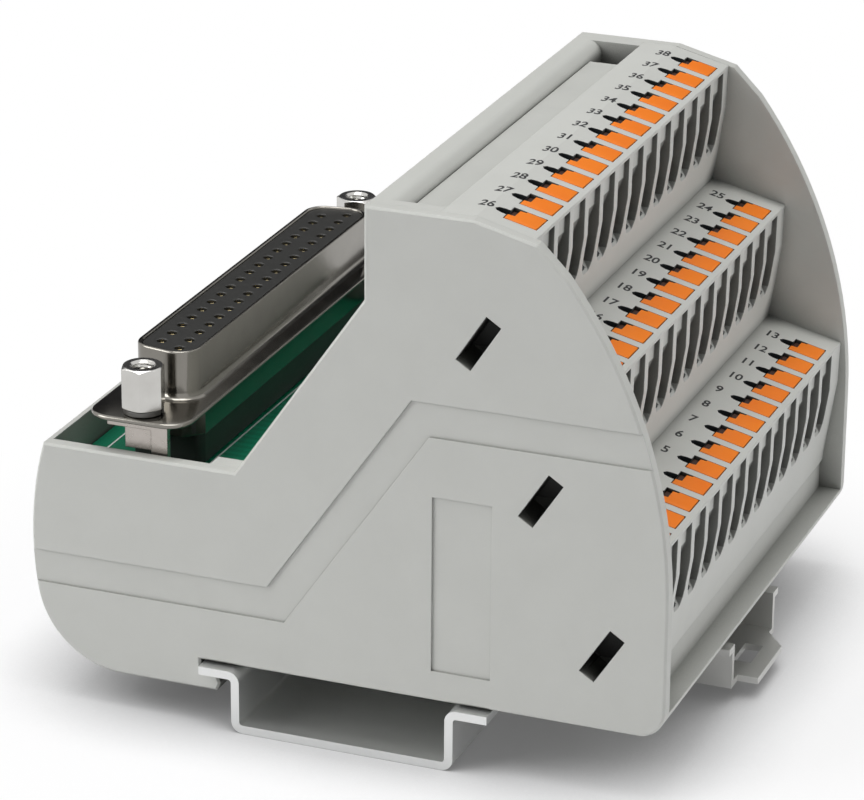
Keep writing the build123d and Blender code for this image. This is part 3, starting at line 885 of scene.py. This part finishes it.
    def make_washers(self) -> bpy.types.Object:
        """Builds the split spring washers: a rectangle carried round and slightly up.

        Returns:
            Both washers as one piece, each with its gap.
        """
        ends = math.radians(self.washer_gap), math.radians(360 - self.washer_gap)
        angle = np.linspace(*ends, self.washer_steps)
        low, high = self.washer
        radius = np.array([low, high, high, low])[None, :]
        lift = np.array([0.0, 0.0, self.washer_height, self.washer_height])[None, :]
        climb = np.linspace(0, self.washer_climb, self.washer_steps)[:, None]
        washers = Surface()
        for side in (-1, 1):
            rings = np.stack(
                [
                    self.x + radius * np.cos(angle)[:, None],
                    side * self.screw_y + radius * np.sin(angle)[:, None],
                    self.flange_top + self.washer_lift + lift + climb,
                ],
                axis=-1,
            )
            washers.add_grid(rings, closed=True)
            washers.add_face(rings[0])
            washers.add_face(rings[-1])
        return washers.build("spring_washers", Finish.WASHER, smooth_below=20)

    def build(self) -> None:
        """Builds and dresses the connector."""
        attach(self.make_shell(), "module", "connector_nickel", "connector_shell")
        attach(self.make_posts(), "module", "connector_nickel", "jack_screws")
        attach(self.make_washers(), "module", "washer_steel", "lock_washers")
        attach(self.make_insulator(), "module", "insulator_black", "connector_insulator")
        attach(self.make_sockets(), "module", "contact_gold", "connector_contacts")
        dress("connector_rear_shell", Finish.NICKEL)
        dress("connector_brackets", Finish.BRACKET)


@dataclass
class Board:
    """The circuit board with its copper tracks and printed outline."""

    top: float = 27.3
    outline: tuple[float, float, float] = (-34.05, -21.1, 33.2)
    line: float = 0.22
    line_lift: float = 0.035
    track: float = 0.7
    track_lift: float = 0.02
    track_end: float = 19.8
    track_share: tuple[float, ...] = (0.0, 0.55, 0.7, 1.0)
    track_fan: tuple[float, ...] = (1.0, 1.0, 1.12, 1.12)

    def ribbon(self, path: np.ndarray, width: float, lift: float) -> Surface:
        """Lays flat ribbons along paths on the board.

        Each ribbon's two edges are its path shifted by half the width along the
        path's own normal.

        Args:
            path: Array of paths by points by 2.
            width: Width in millimetres.
            lift: Height of the ribbon's face over the board.

        Returns:
            The ribbons' surface.
        """
        ahead = np.gradient(path, axis=1)
        ahead /= np.linalg.norm(ahead, axis=2, keepdims=True)
        normal = np.stack([-ahead[..., 1], ahead[..., 0]], axis=-1)
        edges = np.stack([path - normal * width / 2, path + normal * width / 2], axis=2)
        height = np.full((*edges.shape[:3], 1), self.top + lift)
        laid = Surface()
        for edge in np.concatenate([edges, height], axis=-1):
            laid.add_grid(edge)
        return laid

    def make_tracks(self, contacts: np.ndarray) -> bpy.types.Object:
        """Lays one masked copper track from each contact under the tower.

        Args:
            contacts: X and Y of every contact, one row each.

        Returns:
            The tracks as one piece.
        """
        start_x, start_y = contacts[:, :1], contacts[:, 1:]
        x = start_x + (self.track_end - start_x) * np.array(self.track_share)
        y = start_y * np.array(self.track_fan)
        tracks = self.ribbon(np.stack([x, y], axis=-1), self.track, self.track_lift)
        return tracks.build("copper_tracks", Finish.TRACK, solid=False)

    def make_outline(self) -> bpy.types.Object:
        """Prints the connector's outline as four white lines."""
        left, right, end = self.outline
        long_lines = np.array([[(x, -end), (x, end)] for x in (left, right)])
        short_lines = np.array([[(left, y), (right, y)] for y in (-end, end)])
        paths = np.concatenate([long_lines, short_lines])
        lines = self.ribbon(paths, self.line, self.line_lift)
        return lines.build("printed_outline", Finish.WHITE_INK, solid=False)

    def build(self, contacts: np.ndarray) -> None:
        """Builds and dresses the board, with a track from each of the contacts."""
        dress("circuit_board", Finish.MASK)
        attach(self.make_tracks(contacts), "module", "board_green")
        attach(self.make_outline(), "module", "marker_white")


@dataclass
class PushButton:
    """One push button, with the places on its row's slope.

    Attributes:
        length: Length of the cap down the slope.
        width: Width of the cap along the row.
        height: Height of the cap.
        lift: Height of the cap's face over the slope.
        setback: Distance of the cap from the row's front edge.
        hollow: Length of the hollow at the cap's upper end and the Y where it starts.
        ledge: Length of the hollow's ledge along the far edge and the Y where it starts.
        hollow_depth: Depth of the hollow and its ledge.
        stem: Length, width and height of the stem.
        stem_back: Distance of the stem's middle from the front edge.
        edge: Radius of the cap's edges.
    """

    length: float = 3.8
    width: float = 3.5
    height: float = 1.8
    lift: float = 0.05
    setback: float = 0.85
    hollow: tuple[float, float] = (0.8, -0.6)
    ledge: tuple[float, float] = (1.5, 1.3)
    hollow_depth: float = 0.5
    stem: tuple[float, float, float] = (1.5, 2.4, 3.3)
    stem_back: float = 3.75
    edge: float = 0.13

    @staticmethod
    def lattice_faces(filled: np.ndarray) -> np.ndarray:
        """Finds the outer faces of a block of cells.

        A face lies wherever a filled cell meets an empty one, and its corners are the
        four lattice points that the two cells share.

        Args:
            filled: Three-way array that is True for filled cells.

        Returns:
            The faces' corners as lattice places: faces by 4 by 3.
        """
        padded = np.pad(filled, 1)
        found = []
        for axis in range(3):
            step = np.diff(padded.astype(int), axis=axis)
            cells = np.argwhere(step != 0) - 1
            cells[:, axis] += 1
            one, two = [way for way in range(3) if way != axis]
            corners = np.repeat(cells[:, None, :], 4, axis=1)
            corners[:, (1, 2), one] += 1
            corners[:, (2, 3), two] += 1
            found.append(corners)
        return np.concatenate(found)

    def form(self) -> bpy.types.Mesh:
        """Builds the button once, on the slope's own axes and in millimetres.

        Returns:
            A mesh with the plain finish in slot 0 and the hollow's painted shade in slot 1.
        """
        left, right, half = -self.setback - self.length, -self.setback, self.width / 2
        x = np.array([left, left + self.hollow[0], left + self.ledge[0], right])
        y = np.array([-half, self.hollow[1], self.ledge[1], half])
        z = np.array([self.lift - self.height, self.lift - self.hollow_depth, self.lift])
        filled = np.ones((3, 3, 2), dtype=bool)
        filled[0, 1:, 1] = False
        filled[1, 2, 1] = False
        corners = self.lattice_faces(filled)
        spots = np.stack(np.meshgrid(x, y, z, indexing="ij"), axis=-1).reshape(-1, 3)
        cap = bmesh.new()
        points = [cap.verts.new(spot) for spot in spots]
        for face in (corners @ np.array([12, 3, 1])).tolist():
            cap.faces.new([points[number] for number in face])
        low, high = np.array([left, -half, z[0]]), np.array([right, half, self.lift])
        # Faces inside the hollow take the notch's painted shade.
        for face in cap.faces:
            middle = np.array(face.calc_center_median())
            face.material_index = int(np.all(middle > low + 0.01) and np.all(middle < high - 0.01))
        bmesh.ops.delete(cap, geom=[v for v in cap.verts if not v.link_faces], context="VERTS")
        bmesh.ops.recalc_face_normals(cap, faces=cap.faces)
        sharp = [
            edge
            for edge in cap.edges
            if edge.is_convex and not any(face.material_index for face in edge.link_faces)
        ]
        shape = {"segments": 2, "profile": 0.6, "affect": "EDGES", "clamp_overlap": True}
        bmesh.ops.bevel(cap, geom=sharp, offset=self.edge, **shape)
        stem = np.array(self.stem)
        middle = np.array([-self.stem_back, 0.0, self.lift - self.height - stem[2] / 2])
        place = Matrix.Translation(middle.tolist()) @ Matrix.Diagonal((*stem.tolist(), 1.0))
        bmesh.ops.create_cube(cap, size=1.0, matrix=place)
        mesh = bpy.data.meshes.new("push_button")
        cap.to_mesh(mesh)
        cap.free()
        mesh.shade_smooth()
        mesh.set_sharp_from_angle(angle=math.radians(40))
        for finish in (Finish.BUTTON, Finish.NOTCH):
            mesh.materials.append(finish.material())
        return mesh


@dataclass
class TerminalRow:
    """One row of terminals with its buttons, slots and printed numbers.

    Attributes:
        name: Row name, as in the CAD nodes.
        corner: X and Z of the row's front top edge.
        first: Y of the first terminal's middle.
        count: How many terminals it has.
        number: Number printed at the first terminal.
        slope_end: Z of the flat top where the slope ends, if it has one.
    """

    name: str
    corner: tuple[float, float]
    first: float
    count: int
    number: int
    slope_end: float = math.inf
    pitch: float = 5.0
    slope: float = 13.9633
    slot_start: float = 4.66
    slot_length: float = 1.58
    slot_width: float = 1.34
    slot_tip: float = 0.6
    slot_middle: float = -0.45
    slot_levels: tuple[tuple[float, float], ...] = (
        (1.0, -0.02),
        (1.0, -0.95),
        (0.6, -1.05),
        (0.02, -1.05),
    )
    entry_wall: tuple[tuple[float, float], tuple[float, float]] = ((-2.9, -8.2), (-0.75, -10.4))
    entry_place: float = 0.55
    entry_size: tuple[float, float] = (0.75, 0.8)
    entry_rings: tuple[tuple[float, float], ...] = ((1.0, 0.06), (0.9, 0.03), (0.02, 0.03))
    label_back: float = 7.4
    label_shift: float = 0.5
    label_height: float = 1.7
    label_narrow: float = 0.74
    label_lift: float = 0.01
    label_margin: float = 0.95
    label_weight: float = 0.05

    def middles(self) -> list[float]:
        """Gives Y of each terminal's middle."""
        return [self.first + index * self.pitch for index in range(self.count)]

    def on_slope(self, along: np.ndarray, across: np.ndarray, lift: np.ndarray) -> np.ndarray:
        """Places points given on the row's slope.

        Args:
            along: Distance down the slope from the front edge.
            across: Y in the model's frame.
            lift: Height over the slope.

        Returns:
            The points in the model's frame, with coordinates along the last axis.
        """
        angle = math.radians(self.slope)
        x = self.corner[0] + along * math.cos(angle) + lift * math.sin(angle)
        z = self.corner[1] - along * math.sin(angle) + lift * math.cos(angle)
        return np.stack(np.broadcast_arrays(x, across, z), axis=-1)

    def make_slots(self) -> bpy.types.Object:
        """Lines each release slot with a shallow charcoal cup, painted shade for its depth.

        The cup's outline is half an ellipse in four runs, closed by a straight end. It
        is carried down its wall and then in towards the middle of its floor.

        Returns:
            The linings of the row as one piece.
        """
        turn = np.linspace(-math.pi / 2, math.pi / 2, 5)
        tip = self.slot_tip * self.slot_length
        straight = (1 - self.slot_tip) * self.slot_length
        along = np.concatenate([[0.0], -straight - tip * np.cos(turn), [0.0]])
        across = np.concatenate([[-1.0], np.sin(turn), [1.0]]) * self.slot_width / 2
        levels = np.array(self.slot_levels)
        centre = self.slot_middle * self.slot_length
        cups = Surface()
        for middle in self.middles():
            grid = self.on_slope(
                -self.slot_start + centre + (along[None, :] - centre) * levels[:, :1],
                middle + across[None, :] * levels[:, :1],
                levels[:, 1:] + 0 * along[None, :],
            )
            cups.add_grid(grid, closed=True)
        return cups.build(f"{self.name}_slot_shade_cups", Finish.SLOT, solid=False)

    def make_entries(self) -> bpy.types.Object:
        """Lines the wire entry at each funnel's foot with a dark oval dish, painted shade that
        stands for the hole.

        The dish's rim lies on the funnel's lower back wall, which leans outwards as it
        goes down. Rings shrink from the rim to its middle, a little under the wall.

        Returns:
            The entries of the row as one piece.
        """
        top, foot = np.array(self.entry_wall)
        down = (foot - top) / np.linalg.norm(foot - top)
        out = np.array([-down[1], down[0]])
        middle = top + (foot - top) * self.entry_place
        turn = np.linspace(0, 2 * math.pi, 14, endpoint=False)
        shrink, sink = np.array(self.entry_rings).T[:, :, None]
        drop = shrink * self.entry_size[1] * np.sin(turn)
        side = shrink * self.entry_size[0] * np.cos(turn)
        x = self.corner[0] + middle[0] + drop * down[0] + sink * out[0]
        z = self.corner[1] + middle[1] + drop * down[1] + sink * out[1]
        dishes = Surface()
        for y in self.middles():
            dishes.add_grid(np.stack([x, y + side, z], axis=-1), closed=True)
        return dishes.build(f"{self.name}_wire_entry_shade", Finish.SLOT, solid=False)

    def ridge(self) -> float:
        """Gives the distance up the slope to the ridge where the flat top begins."""
        return (self.slope_end - self.corner[1]) / math.sin(math.radians(self.slope))

    @staticmethod
    def cut(mesh: bpy.types.Mesh, x: float) -> None:
        """Cuts the faces of a flat mesh along a line, so that it can be bent there.

        Args:
            mesh: The mesh to cut.
            x: Where the line crosses, on the mesh's own X.
        """
        form = bmesh.new()
        form.from_mesh(mesh)
        parts = [*form.verts, *form.edges, *form.faces]
        bmesh.ops.bisect_plane(form, geom=parts, plane_co=(x, 0, 0), plane_no=(1, 0, 0))
        form.to_mesh(mesh)
        form.free()

    def make_numbers(self) -> bpy.types.Object:
        """Prints the numbers of the row as thin ink meshes.

        Returns:
            All numbers of the row as one piece.
        """
        ink = Surface()
        start = self.label_back + self.label_margin
        for index, terminal in enumerate(self.middles()):
            text = bpy.data.curves.new("number", "FONT")
            text.body = str(self.number + index)
            text.align_x = "LEFT"
            text.align_y = "CENTER"
            text.resolution_u = 3
            text.size = self.label_height / DIGIT_HEIGHT
            text.offset = self.label_weight
            holder = bpy.data.objects.new("number", text)
            flat = bpy.data.meshes.new_from_object(holder)
            if math.isfinite(self.slope_end):
                self.cut(flat, (start - self.ridge()) / self.label_narrow)
            spots = mesh_points(flat)
            placed = self.on_slope(
                spots[:, 0] * self.label_narrow - self.label_back - self.label_margin,
                spots[:, 1] + (terminal + self.label_shift),
                np.full(len(spots), self.label_lift),
            )
            placed[:, 2] = np.minimum(placed[:, 2], self.slope_end + self.label_lift)
            first = ink.add_points(placed)
            ink.faces += [[first + corner for corner in face.vertices] for face in flat.polygons]
            bpy.data.objects.remove(holder)
            bpy.data.curves.remove(text)
            bpy.data.meshes.remove(flat)
        return ink.build(f"{self.name}_numbers", Finish.BLACK_INK, solid=False)

    def make_buttons(self, form: bpy.types.Mesh) -> None:
        """Puts a copy of the button's form at each terminal, on its own moving body.

        Args:
            form: The button's mesh on the slope's own axes.
        """
        along, across, lift = mesh_points(form).T
        for index in range(self.count):
            node = f"{self.name}_button_{index + 1:02d}"
            mesh = form.copy()
            placed = self.on_slope(along, across + self.first + index * self.pitch, lift) * MM
            mesh.vertices.foreach_set("co", placed.ravel())
            mesh.update()
            cap = add_object(f"{self.name}_push_button_{index + 1:02d}", mesh)
            attach(cap, node, "button_orange", node)

    def build(self, form: bpy.types.Mesh) -> None:
        """Builds and dresses the row.

        Args:
            form: The button's mesh on the slope's own axes.
        """
        dress(f"{self.name}_terminal_block", Finish.TERMINAL)
        dress(f"{self.name}_clamp_springs", Finish.SPRING)
        self.make_buttons(form)
        attach(self.make_slots(), "module", "insulator_black")
        attach(self.make_entries(), "module", "insulator_black")
        attach(self.make_numbers(), "module", "insulator_black")


@dataclass
class Housing:
    """The side plates, the body and the marker strip."""

    plates: tuple[str, str] = ("near_side_plate", "far_side_plate")

    def build(self) -> None:
        """Dresses the housing."""
        for node in (*self.plates, "housing_body"):
            dress(node, Finish.HOUSING)
        dress("marker_strip", Finish.MARKER)


@dataclass
class RailAndLatch:
    """The length of mounting rail and the foot latch."""

    def build(self) -> None:
        """Dresses the rail and the latch."""
        dress("din_rail", Finish.RAIL)
        dress("foot_latch", Finish.LATCH)


@dataclass(frozen=True)
class SoftBox:
    """A rectangular studio lamp with a diffuser.

    Attributes:
        name: Lamp name.
        azimuth: Direction it stands in, 0 towards -Y and 90 towards +X, in degrees.
        elevation: Height over the horizon in degrees.
        distance: Distance from the object in metres.
        size: Side lengths in metres.
        power: Power in watts.
    """

    name: str
    azimuth: float
    elevation: float
    distance: float
    size: tuple[float, float]
    power: float

    def build(self) -> None:
        """Sets the lamp up, pointing at the object."""
        lamp = bpy.data.lights.new(self.name, "AREA")
        lamp.shape = "RECTANGLE"
        lamp.size, lamp.size_y = self.size
        lamp.energy = self.power
        back = direction(self.azimuth, self.elevation)
        place = Matrix.Translation((back * self.distance + (0, 0, 0.03)).tolist())
        aim = Matrix(self.frame_of(back).tolist()).to_4x4()
        add_object(self.name, lamp).matrix_world = place @ aim

    @staticmethod
    def frame_of(back: np.ndarray) -> np.ndarray:
        """Gives a rotation whose third column is the given direction."""
        right = np.cross([0.0, 0.0, 1.0], back)
        right /= np.linalg.norm(right)
        return np.column_stack([right, np.cross(back, right), back])


@dataclass
class Studio:
    """Camera, lamps, white surroundings and pale floor."""

    lens: float = 169.56
    place: tuple[float, float, float] = (0.158367, -0.417648, 0.206822)
    azimuth: float = 21.178
    elevation: float = 21.686
    roll: float = 0.3916
    sky: float = 0.13
    floor_glow: float = 0.06
    floor_share: float = 0.65
    floor_near: tuple[float, float] = (0.04, 0.08)
    floor_half: float = 4.0
    floor_steps: int = 9
    floor_z: float = -0.00005
    shade_width: float = 18.0
    shade_sky: tuple[float, float] = (0.28, 0.88)
    shade_low: float = 0.1
    lamps: tuple[SoftBox, ...] = (
        SoftBox("key_softbox", -54, 31, 1.2, (0.7, 0.7), 7.3),
        SoftBox("top_softbox", -90, 86, 1.2, (0.7, 0.7), 7.4),
        SoftBox("fill_softbox", 95, 25, 1.2, (0.7, 0.7), 3.2),
    )
    card_azimuth: float = 200.0
    card_size: tuple[float, float] = (1.8, 0.75)
    card_low: float = 0.06
    card_distance: float = 1.0

    def make_camera(self) -> None:
        """Sets the camera at the photograph's place, with no shift and no blur."""
        a, r = math.radians(self.azimuth), math.radians(self.roll)
        back = direction(self.azimuth, self.elevation)
        right = np.array([math.cos(a), math.sin(a), 0.0])
        up = np.cross(back, right)
        turned = right * math.cos(r) + up * math.sin(r)
        raised = -right * math.sin(r) + up * math.cos(r)
        camera = bpy.data.cameras.new("camera")
        camera.lens = self.lens
        camera.sensor_width = 36.0
        camera.sensor_fit = "HORIZONTAL"
        camera.clip_start = 0.02
        camera.clip_end = 20.0
        holder = add_object("camera", camera)
        turn = Matrix(np.column_stack([turned, raised, back]).tolist()).to_4x4()
        holder.matrix_world = Matrix.Translation(self.place) @ turn
        bpy.context.scene.camera = holder

    @staticmethod
    def seen_ray(tree: bpy.types.NodeTree) -> bpy.types.NodeSocket:
        """Gives 1 for rays from the camera and for mirror and glass rays, otherwise 0."""
        path = add_node(tree, "ShaderNodeLightPath").outputs
        seen = path["Is Camera Ray"]
        for kind in ("Is Glossy Ray", "Is Transmission Ray"):
            either = add_node(tree, "ShaderNodeMath", {0: seen, 1: path[kind]}, operation="MAXIMUM")
            seen = either.outputs["Value"]
        return seen

    def make_world(self) -> None:
        """Surrounds the scene with white for the eye and a plain level of soft light."""
        world = bpy.data.worlds.new("white_surroundings")
        world.use_nodes = True
        world.node_tree.nodes.clear()
        add = partial(add_node, world.node_tree)
        seen = self.seen_ray(world.node_tree)
        level = add("ShaderNodeMapRange", {"Value": seen, "To Min": self.sky, "To Max": 1.0})
        light = add("ShaderNodeBackground", {"Color": linear(WHITE), "Strength": level})
        add("ShaderNodeOutputWorld", {"Surface": light})
        bpy.context.scene.world = world

    def make_floor(self) -> None:
        """Lays the pale floor, matt near the object and plain white farther off.

        Near the object, seen rays meet a share of matt floor, lit by the lamps, with a
        little glow. The rest is a plain white glow with a painted shadow that gets darker
        under and close to the object, as on a table lit from all round. That share grows
        to the whole floor between the two distances of floor_near.
        """
        material = empty_material("pale_floor")
        add = partial(add_node, material.node_tree)
        seen = self.seen_ray(material.node_tree)
        place = add("ShaderNodeTexCoord").outputs["Object"]
        reach = add("ShaderNodeVectorMath", {0: place}, operation="LENGTH").outputs["Value"]
        near, far = self.floor_near
        grow = {"Value": reach, "From Min": near, "From Max": far, "To Min": self.floor_share}
        plain = add("ShaderNodeMapRange", grow, interpolation_type="SMOOTHSTEP")
        share = add("ShaderNodeMath", {0: plain, 1: seen}, operation="MULTIPLY")
        matt = add("ShaderNodeBsdfDiffuse", {"Color": linear("#f6f6f8")})
        level = add("ShaderNodeMath", {0: seen, 1: self.floor_glow}, operation="MULTIPLY")
        glow = add("ShaderNodeEmission", {"Color": linear(WHITE), "Strength": level})
        lit = add("ShaderNodeAddShader", {0: matt, 1: glow})
        # The white share carries a painted shadow: it darkens where the object hides the sky.
        width = {"Distance": self.shade_width * MM}
        sky = add("ShaderNodeAmbientOcclusion", width, samples=16).outputs["AO"]
        dark, clear = self.shade_sky
        fall = {"Value": sky, "From Min": dark, "From Max": clear, "To Min": self.shade_low}
        shade = add("ShaderNodeMapRange", fall)
        white = add("ShaderNodeEmission", {"Color": linear(WHITE), "Strength": shade})
        mixed = add("ShaderNodeMixShader", {0: share, 1: lit, 2: white})
        add("ShaderNodeOutputMaterial", {"Surface": mixed})
        count = self.floor_steps
        side = np.linspace(-self.floor_half, self.floor_half, count)
        x, y = np.meshgrid(side, side, indexing="ij")
        points = np.stack([x, y, np.full_like(x, self.floor_z)], axis=-1).reshape(-1, 3)
        here = np.arange(count - 1)[:, None] * count + np.arange(count - 1)[None, :]
        quads = np.stack([here, here + count, here + count + 1, here + 1], -1)
        mesh = bpy.data.meshes.new("floor")
        mesh.from_pydata(points.tolist(), [], quads.reshape(-1, 4).tolist())
        mesh.materials.append(material)
        add_object("floor", mesh)

    def make_card(self) -> None:
        """Stands a dark card behind the object, which only mirror rays see.

        It gives level metal faces and glossy black plastic the dark tone that they take
        from an unlit studio behind a white table.
        """
        material = empty_material("dark_felt")
        add = partial(add_node, material.node_tree)
        place = add("ShaderNodeTexCoord").outputs["Object"]
        felt = add("ShaderNodeTexNoise", {"Vector": place, "Scale": 1 / (20.0 * MM)})
        tones = {0: felt, 6: linear("#3a3a3c"), 7: linear("#444446")}
        tone = add("ShaderNodeMix", tones, data_type="RGBA").outputs[2]
        cloth = add("ShaderNodeBsdfDiffuse", {"Color": tone})
        add("ShaderNodeOutputMaterial", {"Surface": cloth})
        a = math.radians(self.card_azimuth)
        away = direction(self.card_azimuth) * self.card_distance
        side = np.array([math.cos(a), math.sin(a), 0.0]) * self.card_size[0] / 2
        rise = np.array([0.0, 0.0, self.card_size[1]])
        low = away + (0.0, 0.0, self.card_low)
        corners = np.array([low - side, low + side, low + side + rise, low - side + rise])
        mesh = bpy.data.meshes.new("dark_card")
        mesh.from_pydata(corners.tolist(), [], [[0, 1, 2, 3]])
        mesh.materials.append(material)
        card = add_object("dark_card", mesh)
        card.visible_camera = False
        card.visible_diffuse = False
        card.visible_shadow = False
        card.visible_transmission = False

    def build(self) -> None:
        """Sets up the whole studio."""
        bpy.context.scene.view_settings.view_transform = "Standard"
        self.make_camera()
        self.make_world()
        self.make_floor()
        self.make_card()
        for lamp in self.lamps:
            lamp.build()
        log.info("studio ready with %d lamps", len(self.lamps))


def main() -> None:
    """Builds the module's pieces and the studio."""
    logging.basicConfig(level=logging.INFO, format="%(name)s: %(message)s")
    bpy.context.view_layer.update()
    Studio().build()
    Housing().build()
    RailAndLatch().build()
    connector = Connector()
    Board().build(connector.places())
    connector.build()
    rows = (
        TerminalRow("lower", (36.95, 29.9), -31.8, 13, 1),
        TerminalRow("middle", (29.2, 46.6), -26.1, 12, 14),
        TerminalRow("upper", (21.45, 63.3), -30.0, 13, 26, 65.0),
    )
    form = PushButton().form()
    for row in rows:
        row.build(form)


if __name__ == "__main__":
    main()
